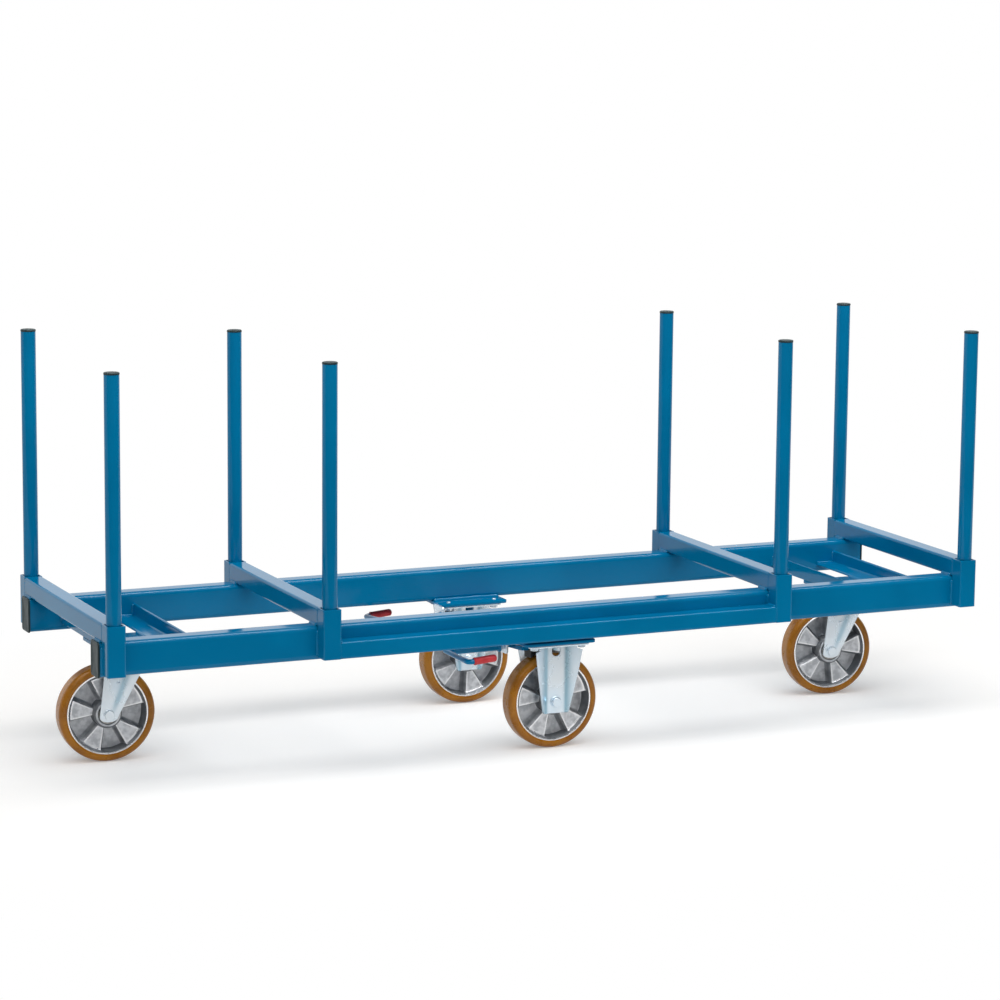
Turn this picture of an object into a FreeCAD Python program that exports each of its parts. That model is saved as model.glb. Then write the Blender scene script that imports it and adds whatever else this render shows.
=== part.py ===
"""Long material cart: two rails, four cross bars, eight plug-in stakes and four casters.

X runs along the cart, Y across it and Z up. The origin is on the floor below the middle of the cart.
The near side is -Y, the far side +Y; the left end is -X, the right end +X. Sizes are in millimetres.
"""

import FreeCAD, Part
import math
import os

from FreeCAD import Vector

# Frame
RAIL_LENGTH = 2560.0
RAIL_HEIGHT = 90.0
RAIL_WIDTH = 60.0
RAIL_BOTTOM = 300.0          # rail underside above the floor
RAIL_WALL = 4.0
RAIL_CORNER = 8.0
BAR = 50.0                   # cross bars and stake sockets are 50 x 50 square tube
BAR_WALL = 4.0
BAR_CORNER = 6.0
STAKE_ROW = 360.0            # stake row from the centre plane
STAKE_X = (-1250.0, -664.0, 664.0, 1250.0)
SOCKET_RISE = 8.0            # sockets and side bars start this much above the rail underside
SOCKET_FLOOR = 5.0
SOCKET_BITE = 0.5            # how far a socket's floor runs into its walls
SOCKET_DRAIN = 7.0           # radius of the drain hole in a socket's floor
SIDE_BAR_HEIGHT = 45.0
SIDE_BAR_WALL = 3.0
SIDE_BAR_CORNER = 5.0
CAP_FLANGE = 5.0
CAP_PLUG = 22.0
CAP_LIP = 1.5                # flange past the rail's outside
CAP_EDGE = 2.0

# Stakes
STAKE_RADIUS = 20.0
STAKE_WALL = 3.0
STAKE_TOP = 1087.0           # top of the stake caps above the floor
STAKE_CAP = 6.5
STAKE_CAP_LIP = 0.6
STAKE_CAP_EDGE = 2.5
STAKE_CAP_PLUG = 18.0
STAKE_PROUD = 26.0           # the far left stake stands this much above its seat

# Cross angles that carry the swivel casters
CASTER_X = 1088.0            # swivel axis from the middle of the cart
ANGLE_WIDE = 60.0
ANGLE_TALL = 40.0
ANGLE_THICK = 6.0
ANGLE_SPAN = 208.0           # over the upright legs of a pair
ANGLE_BOTTOM = 320.0         # their underside above the floor
MOUNT_PLATE = 10.0           # thickness of the mounting plates below them
SWIVEL_MOUNT_WIDE = 176.0
MOUNT_CORNER = 4.0

# Casters
WHEEL_RADIUS = 130.0
RIM_RADIUS = 110.0
RIM_BORE = 99.0
RIM_HALF = 28.0
TREAD_HALF = 30.0
TREAD_SHOULDER = 115.5       # where the side of the tread starts to round over
TREAD_FLAT = 15.0            # half width of its flat running face
TREAD_FALL = 1.5             # how much narrower it is at the rim
HUB_RADIUS = 38.0
HUB_HALF = 34.0
PAD_FACE = 18.0              # outer face of a web pad from the wheel's middle plane
PAD_THICK = 9.0
WEB_PADS = 5                 # pads on each face, alternating with those on the other
PAD_GAP = 6.0                # angle between a pad and the next one on the other face
WEB_BITE = 3.0               # how far the web runs into the hub and the ring
WALL_LEAN = 4.0
RIM_EDGE = 1.5
WHEEL_TURN = {"left": 28.0, "near": 26.0, "right": 6.0, "far": -2.5}  # first pad's angle
BEARING_RADIUS = 26.0
BEARING_WIDTH = 15.0
SLEEVE_RADIUS = 12.5
AXLE_RADIUS = 8.0
AXLE_FLATS = 24.0
AXLE_HEAD = 9.0
AXLE_NUT = 13.0
AXLE_TAIL = 3.0              # bolt end past the nut
AXLE_WASHER_RADIUS = 15.0
AXLE_WASHER = 2.0
PLATE_LONG = 175.0
PLATE_WIDE = 140.0
PLATE_THICK = 6.0
PLATE_CORNER = 10.0
BOLT_LONG = 140.0            # bolt spacing of the caster plates
BOLT_WIDE = 105.0
BOLT_RADIUS = 6.0
BOLT_CLEAR = 0.5             # radial clearance of the bolt holes
BOLT_FLATS = 19.0
BOLT_HEAD = 8.0
BOLT_PROUD = 4.0             # bolt end above a fixed caster's mounting plate
LEG_INNER = 36.0             # inner face of a fork leg from the wheel's middle plane
LEG_THICK = 5.0
TRAIL = 70.0                 # swivel axis to wheel axle
LEFT_YAW = -4.0              # how the swivel casters are turned
RIGHT_YAW = -6.0
FIXED_Y = 291.0              # middle plane of the fixed wheels
FIXED_MOUNT_LONG = 208.0
FIXED_MOUNT_WIDE = 150.0
FIXED_MOUNT_CORNER = 14.0
FIXED_MOUNT_PLATE = 8.0
PANEL_HALF = 29.0            # flat middle of a fixed leg, between its two folds
LEG_FLARE = 0.65             # how far its sides stand out, for each unit of their width
LEG_NECK_HALF = 54.0         # outline of the leg: half widths and heights, from the plate down
LEG_NECK_Z = 277.0
LEG_WIDE_HALF = 66.5
LEG_WIDE_Z = 273.0
LEG_WAIST_HALF = 58.0
LEG_WAIST_Z = 215.0
LEG_HEEL_HALF = 38.0
LEG_HEEL_Z = 107.0
LEG_TOE_HALF = 32.0
LEG_TOE_Z = 99.0
WINDOW_HALF = 12.5
WINDOW_LOW = 255.0
WINDOW_HIGH = 284.0
WINDOW_CORNER = 8.0
KINGPIN_RADIUS = 10.0
KINGPIN_SUNK = 1.0           # below the top of the plate
KINGPIN_END = 262.0
KINGPIN_NUT_LOW = 264.7
KINGPIN_NUT = 11.0
KINGPIN_FLATS = 30.0
RACE_RADIUS = 55.0
RACE_HEIGHT = 11.0
CROWN_RADIUS = 57.0
CROWN_LOW = 276.0
CROWN_EDGE = 3.0
BRIDGE_REAR = -76.0          # fork's bridge, from the swivel axis
BRIDGE_FRONT = 40.0
FOOT_HALF = 24.5             # rounded foot of a swivel leg about the axle
FOOT_SHOULDER = 7.0
FOOT_LOW = 20.0

# Brake
BRAKE_Y = 200.0              # brake shaft from the centre plane
BRAKE_Z = 267.0
BRAKE_BAR = 7.0              # radius of the crank's round bar
BRAKE_TUBE = 14.0            # outer radius of the bearing tube
BRAKE_TUBE_LEFT = -248.0
BRACKET_THICK = 6.0
BRACKET_OUTER = 50.0         # bracket plate about the brake shaft
BRACKET_INNER = 14.0
BRACKET_CORNER = 8.0
CRANK_X = -272.0
CRANK_ARM = 167.0
CRANK_BEND = 14.0
GRIP_RADIUS = 10.0
GRIP_LENGTH = 66.0
GRIP_RISE = 6.0
GRIP_WALL = 8.0              # plastic past the end of the bar
GRIP_START = 1.0             # bend to the open end of the grip
GRIP_FLAT = 2.0              # radius of the flat on its round end
BRAKE_TURN = 5.0             # crank turn that brings the shoe down on the tread
ARM_LEFT = -86.0             # flat arm from the shaft past the fork and over the wheel
ARM_RIGHT = -72.0
ARM_TIP = 34.0
ARM_HALF = 7.0               # half its width over the wheel
ARM_HUB = 12.0               # how far it reaches past the shaft
ARM_LOW = 262.0              # its under and upper face with the brake on
ARM_HIGH = 273.0
SHOE_LEFT = -66.0
SHOE_RIGHT = -24.0
SHOE_HALF = 22.0

RUNNING = 0.1                # radial clearance of a turning fit
TIGHT = 0.05                 # radial clearance of a push fit
CLEAR = 0.3                  # clearance between faces that pass each other

RAIL_TOP = RAIL_BOTTOM + RAIL_HEIGHT
DECK = RAIL_TOP + BAR
RAIL_OUTER = STAKE_ROW - BAR / 2
RAIL_INNER = RAIL_OUTER - RAIL_WIDTH
RAIL_Y = (RAIL_OUTER + RAIL_INNER) / 2
SOCKET_BOTTOM = RAIL_BOTTOM + SOCKET_RISE
STAKE_SEAT = SOCKET_BOTTOM + SOCKET_FLOOR
FIXED_PLATE_TOP = RAIL_BOTTOM - FIXED_MOUNT_PLATE
SWIVEL_PLATE_TOP = ANGLE_BOTTOM - MOUNT_PLATE
AXLE_Z = WHEEL_RADIUS

X_AXIS = Vector(1, 0, 0)
Y_AXIS = Vector(0, 1, 0)
Z_AXIS = Vector(0, 0, 1)
ORIGIN = Vector(0, 0, 0)


def block(x0, x1, y0, y1, z0, z1):
    """A box between two corners."""
    return Part.makeBox(x1 - x0, y1 - y0, z1 - z0, Vector(x0, y0, z0))


def rounded_block(x0, x1, y0, y1, z0, z1, axis, radius):
    """A box whose four edges along one axis are rounded."""
    body = block(x0, x1, y0, y1, z0, z1)
    edges = [edge for edge in body.Edges if abs(edge.tangentAt(edge.FirstParameter).dot(axis)) > 0.9]
    return body.makeFillet(radius, edges)


def box_tube(x0, x1, y0, y1, z0, z1, axis, wall, radius):
    """A rectangular hollow section with rounded corners, open at both ends."""
    outer = rounded_block(x0, x1, y0, y1, z0, z1, axis, radius)
    dx = 0 if axis == X_AXIS else wall
    dy = 0 if axis == Y_AXIS else wall
    dz = 0 if axis == Z_AXIS else wall
    bore = rounded_block(x0 + dx, x1 - dx, y0 + dy, y1 - dy, z0 + dz, z1 - dz, axis, radius / 2)
    return outer.cut(bore)


def rod(radius, length, base, axis):
    """A round bar from a base point along an axis."""
    return Part.makeCylinder(radius, length, base, axis)


def hexagon(flats, height, base, axis):
    """A hexagonal prism measured across its flats."""
    corner = flats / math.sqrt(3)
    angles = [math.radians(60 * i) for i in range(7)]
    ring = Part.makePolygon([Vector(corner * math.cos(a), corner * math.sin(a), 0) for a in angles])
    prism = Part.Face(ring).extrude(Vector(0, 0, height))
    prism.Placement = FreeCAD.Placement(base, FreeCAD.Rotation(Z_AXIS, axis))
    return prism


def plate_xz(points, y0, y1):
    """A flat plate with a straight-sided outline in X and Z."""
    outline = [Vector(x, y0, z) for x, z in points]
    outline.append(outline[0])
    return Part.Face(Part.makePolygon(outline)).extrude(Vector(0, y1 - y0, 0))


def across(shape):
    """The mirror image on the other side of the cart."""
    return shape.mirror(ORIGIN, Y_AXIS)


def write(name, *solids):
    """Write one node; several solids make a group."""
    shape = solids[0] if len(solids) == 1 else Part.makeCompound(list(solids))
    assert shape.isValid(), name
    assert len(shape.Solids) == len(solids), (name, len(shape.Solids))
    shape.exportStep(os.path.join("parts", name + ".step"))


def rail():
    """Near side rail: rectangular hollow section, full length."""
    half = RAIL_LENGTH / 2
    return box_tube(-half, half, -RAIL_OUTER, -RAIL_INNER, RAIL_BOTTOM, RAIL_TOP, X_AXIS,
                    RAIL_WALL, RAIL_CORNER)


def rail_cap(end, side):
    """Plastic plug in one rail end: a flange over the tube's edge and a body inside it."""
    half = RAIL_LENGTH / 2
    low_y = side * RAIL_Y - RAIL_WIDTH / 2
    high_y = side * RAIL_Y + RAIL_WIDTH / 2
    flange = rounded_block(half, half + CAP_FLANGE, low_y - CAP_LIP, high_y + CAP_LIP,
                           RAIL_BOTTOM - CAP_LIP, RAIL_TOP + CAP_LIP, X_AXIS, RAIL_CORNER)
    lip_edges = [edge for edge in flange.Edges if edge.CenterOfMass.x > half + CAP_FLANGE - 0.01]
    flange = flange.makeFillet(CAP_EDGE, lip_edges)
    inset = RAIL_WALL + RUNNING
    plug = rounded_block(half - CAP_PLUG, half, low_y + inset, high_y - inset,
                         RAIL_BOTTOM + inset, RAIL_TOP - inset, X_AXIS, RAIL_CORNER / 2)
    cap = flange.fuse(plug).removeSplitter()
    return cap if end > 0 else cap.mirror(ORIGIN, X_AXIS)


def cross_bar(x):
    """Square tube on top of both rails, between the sockets of one pair of stakes."""
    reach = STAKE_ROW - BAR / 2
    return box_tube(x - BAR / 2, x + BAR / 2, -reach, reach, RAIL_TOP, DECK, Y_AXIS,
                    BAR_WALL, BAR_CORNER)


def stake_socket(x):
    """Near side square tube, closed below by a drained plate that the stake stands on."""
    low = -STAKE_ROW - BAR / 2
    tube = box_tube(x - BAR / 2, x + BAR / 2, low, low + BAR, SOCKET_BOTTOM, DECK, Z_AXIS,
                    BAR_WALL, BAR_CORNER)
    inner = BAR / 2 - BAR_WALL + SOCKET_BITE
    floor = block(x - inner, x + inner, -STAKE_ROW - inner, -STAKE_ROW + inner, SOCKET_BOTTOM, STAKE_SEAT)
    drain = rod(SOCKET_DRAIN, SOCKET_FLOOR, Vector(x, -STAKE_ROW, SOCKET_BOTTOM), Z_AXIS)
    return tube.fuse(floor.cut(drain)).removeSplitter()


def side_bar():
    """Near side stiffener along the rail's outer face, between the two inner sockets."""
    reach = STAKE_X[2] - BAR / 2
    return box_tube(-reach, reach, -STAKE_ROW - BAR / 2, -RAIL_OUTER, SOCKET_BOTTOM,
                    SOCKET_BOTTOM + SIDE_BAR_HEIGHT, X_AXIS, SIDE_BAR_WALL, SIDE_BAR_CORNER)


def stake(x, y, lift):
    """Round tube that stands in a socket."""
    height = STAKE_TOP - STAKE_CAP - STAKE_SEAT
    base = Vector(x, y, STAKE_SEAT + lift)
    return rod(STAKE_RADIUS, height, base, Z_AXIS).cut(rod(STAKE_RADIUS - STAKE_WALL, height, base, Z_AXIS))


def stake_cap(x, y, lift):
    """Plastic plug in the top of a stake, with a rounded edge."""
    seat = STAKE_TOP - STAKE_CAP + lift
    head = rod(STAKE_RADIUS + STAKE_CAP_LIP, STAKE_CAP, Vector(x, y, seat), Z_AXIS)
    rim = [edge for edge in head.Edges if edge.CenterOfMass.z > seat + STAKE_CAP - 0.01]
    head = head.makeFillet(STAKE_CAP_EDGE, rim)
    plug_radius = STAKE_RADIUS - STAKE_WALL - RUNNING
    plug = rod(plug_radius, STAKE_CAP_PLUG, Vector(x, y, seat - STAKE_CAP_PLUG), Z_AXIS)
    return head.fuse(plug).removeSplitter()


def angle_pair(x):
    """Two steel angles between the rails, flat legs turned towards each other below."""
    low = ANGLE_BOTTOM
    half = ANGLE_SPAN / 2
    upright = block(x + half - ANGLE_THICK, x + half, -RAIL_INNER, RAIL_INNER, low, low + ANGLE_TALL)
    flat = block(x + half - ANGLE_WIDE, x + half, -RAIL_INNER, RAIL_INNER, low, low + ANGLE_THICK)
    right = upright.fuse(flat).removeSplitter()
    return [right, right.mirror(Vector(x, 0, 0), X_AXIS)]


def bolt_places():
    """Offsets of the four bolts of a caster plate."""
    return [(sx * BOLT_LONG / 2, sy * BOLT_WIDE / 2) for sx in (-1, 1) for sy in (-1, 1)]


def drilled_plate(x, y, top, long, wide, thick, corner):
    """Rectangular steel plate with four bolt holes."""
    plate = rounded_block(x - long / 2, x + long / 2, y - wide / 2, y + wide / 2,
                          top - thick, top, Z_AXIS, corner)
    for dx, dy in bolt_places():
        plate = plate.cut(rod(BOLT_RADIUS + BOLT_CLEAR, thick, Vector(x + dx, y + dy, top - thick), Z_AXIS))
    return plate


def bolt(x, y, under, top):
    """Bolt with its head below a caster plate, screwed up into the mounting plate."""
    head = hexagon(BOLT_FLATS, BOLT_HEAD, Vector(x, y, under - BOLT_HEAD), Z_AXIS)
    body = rod(BOLT_RADIUS, top - under, Vector(x, y, under), Z_AXIS)
    return head.fuse(body).removeSplitter()


def mounting_bolts():
    """All bolts that hold the four caster plates; the inner ones of the fixed casters stand proud."""
    bolts = []
    swivel_under = SWIVEL_PLATE_TOP - PLATE_THICK
    fixed_under = FIXED_PLATE_TOP - PLATE_THICK
    for dx, dy in bolt_places():
        for x in (-CASTER_X, CASTER_X):
            bolts.append(bolt(x + dx, dy, swivel_under, ANGLE_BOTTOM))
        for side in (-1, 1):
            y = side * FIXED_Y + dy
            proud = BOLT_PROUD if abs(y) < FIXED_Y else 0.0
            bolts.append(bolt(dx, y, fixed_under, RAIL_BOTTOM + proud))
    return bolts


def tread():
    """Polyurethane tyre with rounded shoulders, about the Z axis."""
    low = TREAD_HALF - TREAD_FALL
    slant = math.sqrt(0.5)
    bulge_r = TREAD_SHOULDER + slant * (WHEEL_RADIUS - TREAD_SHOULDER)
    bulge_z = TREAD_FLAT + slant * (TREAD_HALF - TREAD_FLAT)
    top = [Vector(RIM_RADIUS, 0, low), Vector(TREAD_SHOULDER, 0, TREAD_HALF),
           Vector(WHEEL_RADIUS, 0, TREAD_FLAT)]
    under = [Vector(p.x, 0, -p.z) for p in top]
    edges = [
        Part.makeLine(under[0], top[0]),
        Part.makeLine(top[0], top[1]),
        Part.Arc(top[1], Vector(bulge_r, 0, bulge_z), top[2]).toShape(),
        Part.makeLine(top[2], under[2]),
        Part.Arc(under[2], Vector(bulge_r, 0, -bulge_z), under[1]).toShape(),
        Part.makeLine(under[1], under[0]),
    ]
    return Part.Face(Part.Wire(edges)).revolve(ORIGIN, Z_AXIS, 360)


def web_pad(middle, face):
    """Flat sector of the wheel's web; face is its outer height, above or below the middle plane."""
    spread = 180.0 / WEB_PADS - PAD_GAP
    low = face - PAD_THICK if face > 0 else face
    outer = Part.makeCylinder(RIM_BORE + WEB_BITE, PAD_THICK, Vector(0, 0, low), Z_AXIS, spread)
    pad = outer.cut(Part.makeCylinder(HUB_RADIUS - WEB_BITE, PAD_THICK, Vector(0, 0, low), Z_AXIS))
    pad.rotate(ORIGIN, Z_AXIS, middle - spread / 2)
    return pad


def web_wall(angle, lean):
    """Sloping radial wall that joins a pad of one face to the next pad of the other."""
    start = HUB_RADIUS - WEB_BITE
    half = WALL_LEAN
    front = [(-half - lean, PAD_FACE), (half - lean, PAD_FACE)]
    rear = [(half + lean, -PAD_FACE), (-half + lean, -PAD_FACE)]
    corners = front + rear
    outline = [Vector(start, s, z) for s, z in corners]
    outline.append(outline[0])
    wall = Part.Face(Part.makePolygon(outline)).extrude(Vector(RIM_BORE + WEB_BITE - start, 0, 0))
    wall.rotate(ORIGIN, Z_AXIS, angle)
    return wall


def rim(turn):
    """Die-cast wheel centre: outer ring, hub and a web folded between the two faces."""
    ring = rod(RIM_RADIUS - TIGHT, 2 * RIM_HALF, Vector(0, 0, -RIM_HALF), Z_AXIS)
    ring = ring.cut(rod(RIM_BORE, 2 * RIM_HALF, Vector(0, 0, -RIM_HALF), Z_AXIS))
    circles = [edge for edge in ring.Edges if edge.Closed]
    faces = [edge for edge in circles if abs(edge.CenterOfMass.z) > RIM_HALF - 0.01]
    ring = ring.makeChamfer(RIM_EDGE, faces)
    hub = rod(HUB_RADIUS, 2 * HUB_HALF, Vector(0, 0, -HUB_HALF), Z_AXIS)
    pieces = [hub]
    step = 180.0 / WEB_PADS
    for i in range(WEB_PADS):
        front = turn + 2 * i * step
        pieces.append(web_pad(front, PAD_FACE))
        pieces.append(web_pad(front + step, -PAD_FACE))
        pieces.append(web_wall(front + step / 2, WALL_LEAN))
        pieces.append(web_wall(front - step / 2, -WALL_LEAN))
    body = ring.multiFuse(pieces)
    bore = rod(SLEEVE_RADIUS + WEB_BITE, 2 * HUB_HALF, Vector(0, 0, -HUB_HALF), Z_AXIS)
    body = body.cut(bore)
    for low in (-HUB_HALF, HUB_HALF - BEARING_WIDTH):
        body = body.cut(rod(BEARING_RADIUS + TIGHT, BEARING_WIDTH, Vector(0, 0, low), Z_AXIS))
    return body.removeSplitter()


def bearings():
    """The two ball bearings of a wheel, one in each end of the hub."""
    pair = []
    for low in (-HUB_HALF, HUB_HALF - BEARING_WIDTH):
        ring = rod(BEARING_RADIUS, BEARING_WIDTH, Vector(0, 0, low), Z_AXIS)
        bore = rod(SLEEVE_RADIUS + RUNNING, BEARING_WIDTH, Vector(0, 0, low), Z_AXIS)
        pair.append(ring.cut(bore))
    return pair


def axle(grip):
    """Bolt, sleeve and nut that carry a wheel, about the Z axis; grip is half the width over the legs."""
    tail = grip + AXLE_WASHER + AXLE_NUT + AXLE_TAIL
    sleeve_half = LEG_INNER - TIGHT
    sleeve = rod(SLEEVE_RADIUS, 2 * sleeve_half, Vector(0, 0, -sleeve_half), Z_AXIS)
    shank = rod(AXLE_RADIUS, grip + AXLE_WASHER + tail, Vector(0, 0, -tail), Z_AXIS)
    washer = rod(AXLE_WASHER_RADIUS, AXLE_WASHER, Vector(0, 0, grip), Z_AXIS)
    head = hexagon(AXLE_FLATS, AXLE_HEAD, Vector(0, 0, grip + AXLE_WASHER), Z_AXIS)
    far_washer = rod(AXLE_WASHER_RADIUS, AXLE_WASHER, Vector(0, 0, -grip - AXLE_WASHER), Z_AXIS)
    nut = hexagon(AXLE_FLATS, AXLE_NUT, Vector(0, 0, -grip - AXLE_WASHER - AXLE_NUT), Z_AXIS)
    return sleeve.multiFuse([shank, washer, head, far_washer, nut]).removeSplitter()


def stand_up(shape, x, y, yaw=0.0):
    """Turn a piece made about the Z axis so that its axis lies across the cart, and put it at x, y."""
    turn = FreeCAD.Rotation(Z_AXIS, yaw).multiply(FreeCAD.Rotation(X_AXIS, 90))
    placed = shape.copy()
    placed.Placement = FreeCAD.Placement(Vector(x, y, AXLE_Z), turn)
    return placed


def fixed_leg(top):
    """Outer leg of a fixed caster, wheel at Y = 0: sheet, its sides folded outwards, cut to an outline."""
    front = -LEG_INNER - LEG_THICK
    fold = LEG_THICK * math.tan(math.atan(LEG_FLARE) / 2)
    reach = LEG_WIDE_HALF - PANEL_HALF
    tip = front - LEG_FLARE * reach
    right = [(PANEL_HALF, front), (LEG_WIDE_HALF, tip),
             (LEG_WIDE_HALF, -LEG_INNER - LEG_FLARE * (reach - fold)), (PANEL_HALF + fold, -LEG_INNER)]
    plan = [Vector(x, y, LEG_TOE_Z) for x, y in right + [(-x, y) for x, y in reversed(right)]]
    plan.append(plan[0])
    sheet = Part.Face(Part.makePolygon(plan)).extrude(Vector(0, 0, top - LEG_TOE_Z))
    side = [(LEG_NECK_HALF, top), (LEG_NECK_HALF, LEG_NECK_Z), (LEG_WIDE_HALF, LEG_WIDE_Z),
            (LEG_WAIST_HALF, LEG_WAIST_Z), (LEG_HEEL_HALF, LEG_HEEL_Z), (LEG_TOE_HALF, LEG_TOE_Z)]
    leg = sheet.common(plate_xz(side + [(-x, z) for x, z in reversed(side)], tip, -LEG_INNER))
    window = rounded_block(-WINDOW_HALF, WINDOW_HALF, front, -LEG_INNER,
                           WINDOW_LOW, WINDOW_HIGH, Y_AXIS, WINDOW_CORNER)
    hole = rod(AXLE_RADIUS + RUNNING, LEG_THICK, Vector(0, front, AXLE_Z), Y_AXIS)
    return leg.cut(window).cut(hole)


def fixed_fork():
    """Pressed fork of the near fixed caster: top plate and two tapered legs."""
    plate_low = FIXED_PLATE_TOP - PLATE_THICK
    plate = drilled_plate(0, 0, FIXED_PLATE_TOP, PLATE_LONG, PLATE_WIDE, PLATE_THICK, PLATE_CORNER)
    leg = fixed_leg(plate_low)
    fork = plate.multiFuse([leg, across(leg)]).removeSplitter()
    fork.translate(Vector(0, -FIXED_Y, 0))
    return fork


def swivel_plate(x):
    """Top plate of a swivel caster with the upper ring of its ball race below it."""
    plate = drilled_plate(x, 0, SWIVEL_PLATE_TOP, PLATE_LONG, PLATE_WIDE, PLATE_THICK, PLATE_CORNER)
    low = SWIVEL_PLATE_TOP - PLATE_THICK
    race = rod(RACE_RADIUS, RACE_HEIGHT, Vector(x, 0, low - RACE_HEIGHT), Z_AXIS)
    bore = rod(KINGPIN_RADIUS + TIGHT, RACE_HEIGHT + PLATE_THICK, Vector(x, 0, low - RACE_HEIGHT), Z_AXIS)
    return plate.fuse(race).cut(bore).removeSplitter()


def kingpin(x):
    """Pin of a swivel caster, with a nut below the fork's crown."""
    top = SWIVEL_PLATE_TOP - KINGPIN_SUNK
    pin = rod(KINGPIN_RADIUS, top - KINGPIN_END, Vector(x, 0, KINGPIN_END), Z_AXIS)
    nut = hexagon(KINGPIN_FLATS, KINGPIN_NUT, Vector(x, 0, KINGPIN_NUT_LOW), Z_AXIS)
    return pin.fuse(nut).removeSplitter()


def swivel_fork(x, yaw):
    """Pressed fork of a swivel caster: round crown and two legs that lean back to the axle."""
    crown_top = SWIVEL_PLATE_TOP - PLATE_THICK - RACE_HEIGHT - CLEAR
    crown = rod(CROWN_RADIUS, crown_top - CROWN_LOW, Vector(0, 0, CROWN_LOW), Z_AXIS)
    crown_rim = [edge for edge in crown.Edges if edge.Closed and edge.CenterOfMass.z < CROWN_LOW + 0.01]
    crown = crown.makeFillet(CROWN_EDGE, crown_rim)
    outer = LEG_INNER + LEG_THICK
    bridge_top = CROWN_LOW + LEG_THICK
    bridge = block(BRIDGE_REAR, BRIDGE_FRONT, -outer, outer, CROWN_LOW, bridge_top)
    foot_arc = ((FOOT_HALF, FOOT_SHOULDER), (0, FOOT_LOW), (-FOOT_HALF, FOOT_SHOULDER))
    legs = []
    for side in (-1, 1):
        y = -LEG_INNER - LEG_THICK if side < 0 else LEG_INNER
        foot = [Vector(-TRAIL + dx, y, AXLE_Z - dz) for dx, dz in foot_arc]
        corners = [Vector(BRIDGE_REAR, y, bridge_top), Vector(BRIDGE_FRONT, y, bridge_top)]
        edges = [
            Part.makeLine(corners[0], corners[1]),
            Part.makeLine(corners[1], foot[0]),
            Part.Arc(foot[0], foot[1], foot[2]).toShape(),
            Part.makeLine(foot[2], corners[0]),
        ]
        leg = Part.Face(Part.Wire(edges)).extrude(Vector(0, LEG_THICK, 0))
        hole = rod(AXLE_RADIUS + RUNNING, LEG_THICK + 2, Vector(-TRAIL, y - 1, AXLE_Z), Y_AXIS)
        legs.append(leg.cut(hole))
    fork = crown.multiFuse([bridge] + legs)
    bore = rod(KINGPIN_RADIUS + RUNNING, crown_top - CROWN_LOW, Vector(0, 0, CROWN_LOW), Z_AXIS)
    fork = fork.cut(bore).removeSplitter()
    fork.rotate(ORIGIN, Z_AXIS, yaw)
    fork.translate(Vector(x, 0, 0))
    return fork


def swivel_axle_at(x, yaw):
    """Where a swivel caster's wheel stands when its fork is turned."""
    turn = math.radians(yaw)
    return x - TRAIL * math.cos(turn), -TRAIL * math.sin(turn)


def brake_tube():
    """Near side bearing tube of the brake shaft, held at one end by its bracket."""
    length = -FIXED_MOUNT_LONG / 2 - BRACKET_THICK - BRAKE_TUBE_LEFT
    base = Vector(BRAKE_TUBE_LEFT, -BRAKE_Y, BRAKE_Z)
    return rod(BRAKE_TUBE, length, base, X_AXIS).cut(rod(BRAKE_BAR + RUNNING, length, base, X_AXIS))


def brake_bracket():
    """Near side upright plate on the end of the mounting plate; the brake shaft turns in it."""
    right = -FIXED_MOUNT_LONG / 2
    left = right - BRACKET_THICK
    plate = rounded_block(left, right, -BRAKE_Y - BRACKET_OUTER, -BRAKE_Y + BRACKET_INNER,
                          BRAKE_Z - BRACKET_INNER, RAIL_BOTTOM, X_AXIS, BRACKET_CORNER)
    return plate.cut(rod(BRAKE_BAR + RUNNING, BRACKET_THICK, Vector(left, -BRAKE_Y, BRAKE_Z), X_AXIS))


def released(shape):
    """A near side piece made with the brake on, turned up to where it is with the brake off."""
    return shape.rotated(Vector(0, -BRAKE_Y, BRAKE_Z), X_AXIS, -BRAKE_TURN)


def applied(shape):
    """A far side piece made with the brake off, turned down to where it is with the brake on."""
    return shape.rotated(Vector(0, BRAKE_Y, BRAKE_Z), X_AXIS, -BRAKE_TURN)


def shoe_arm(gap):
    """Near side arm of the shoe, brake on; gap is added at the sides of the part over the wheel."""
    outer = -FIXED_Y - ARM_HALF
    reach = block(ARM_LEFT, ARM_RIGHT, outer, -BRAKE_Y + ARM_HUB, ARM_LOW, ARM_HIGH)
    finger = block(ARM_LEFT, ARM_TIP, outer - gap, -FIXED_Y + ARM_HALF + gap, ARM_LOW, ARM_HIGH)
    return reach.fuse(finger).removeSplitter()


def crank_corners():
    """Corner points of the near crank's middle line, from inside the arm to the tip of the grip."""
    shaft_end = Vector((ARM_LEFT + ARM_RIGHT) / 2, -BRAKE_Y, BRAKE_Z)
    elbow = Vector(CRANK_X, -BRAKE_Y, BRAKE_Z)
    knee = Vector(CRANK_X, -BRAKE_Y - CRANK_ARM, BRAKE_Z)
    tip = knee + Vector(CRANK_BEND + GRIP_LENGTH - GRIP_WALL, 0, GRIP_RISE)
    return [shaft_end, elbow, knee, tip]


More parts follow.
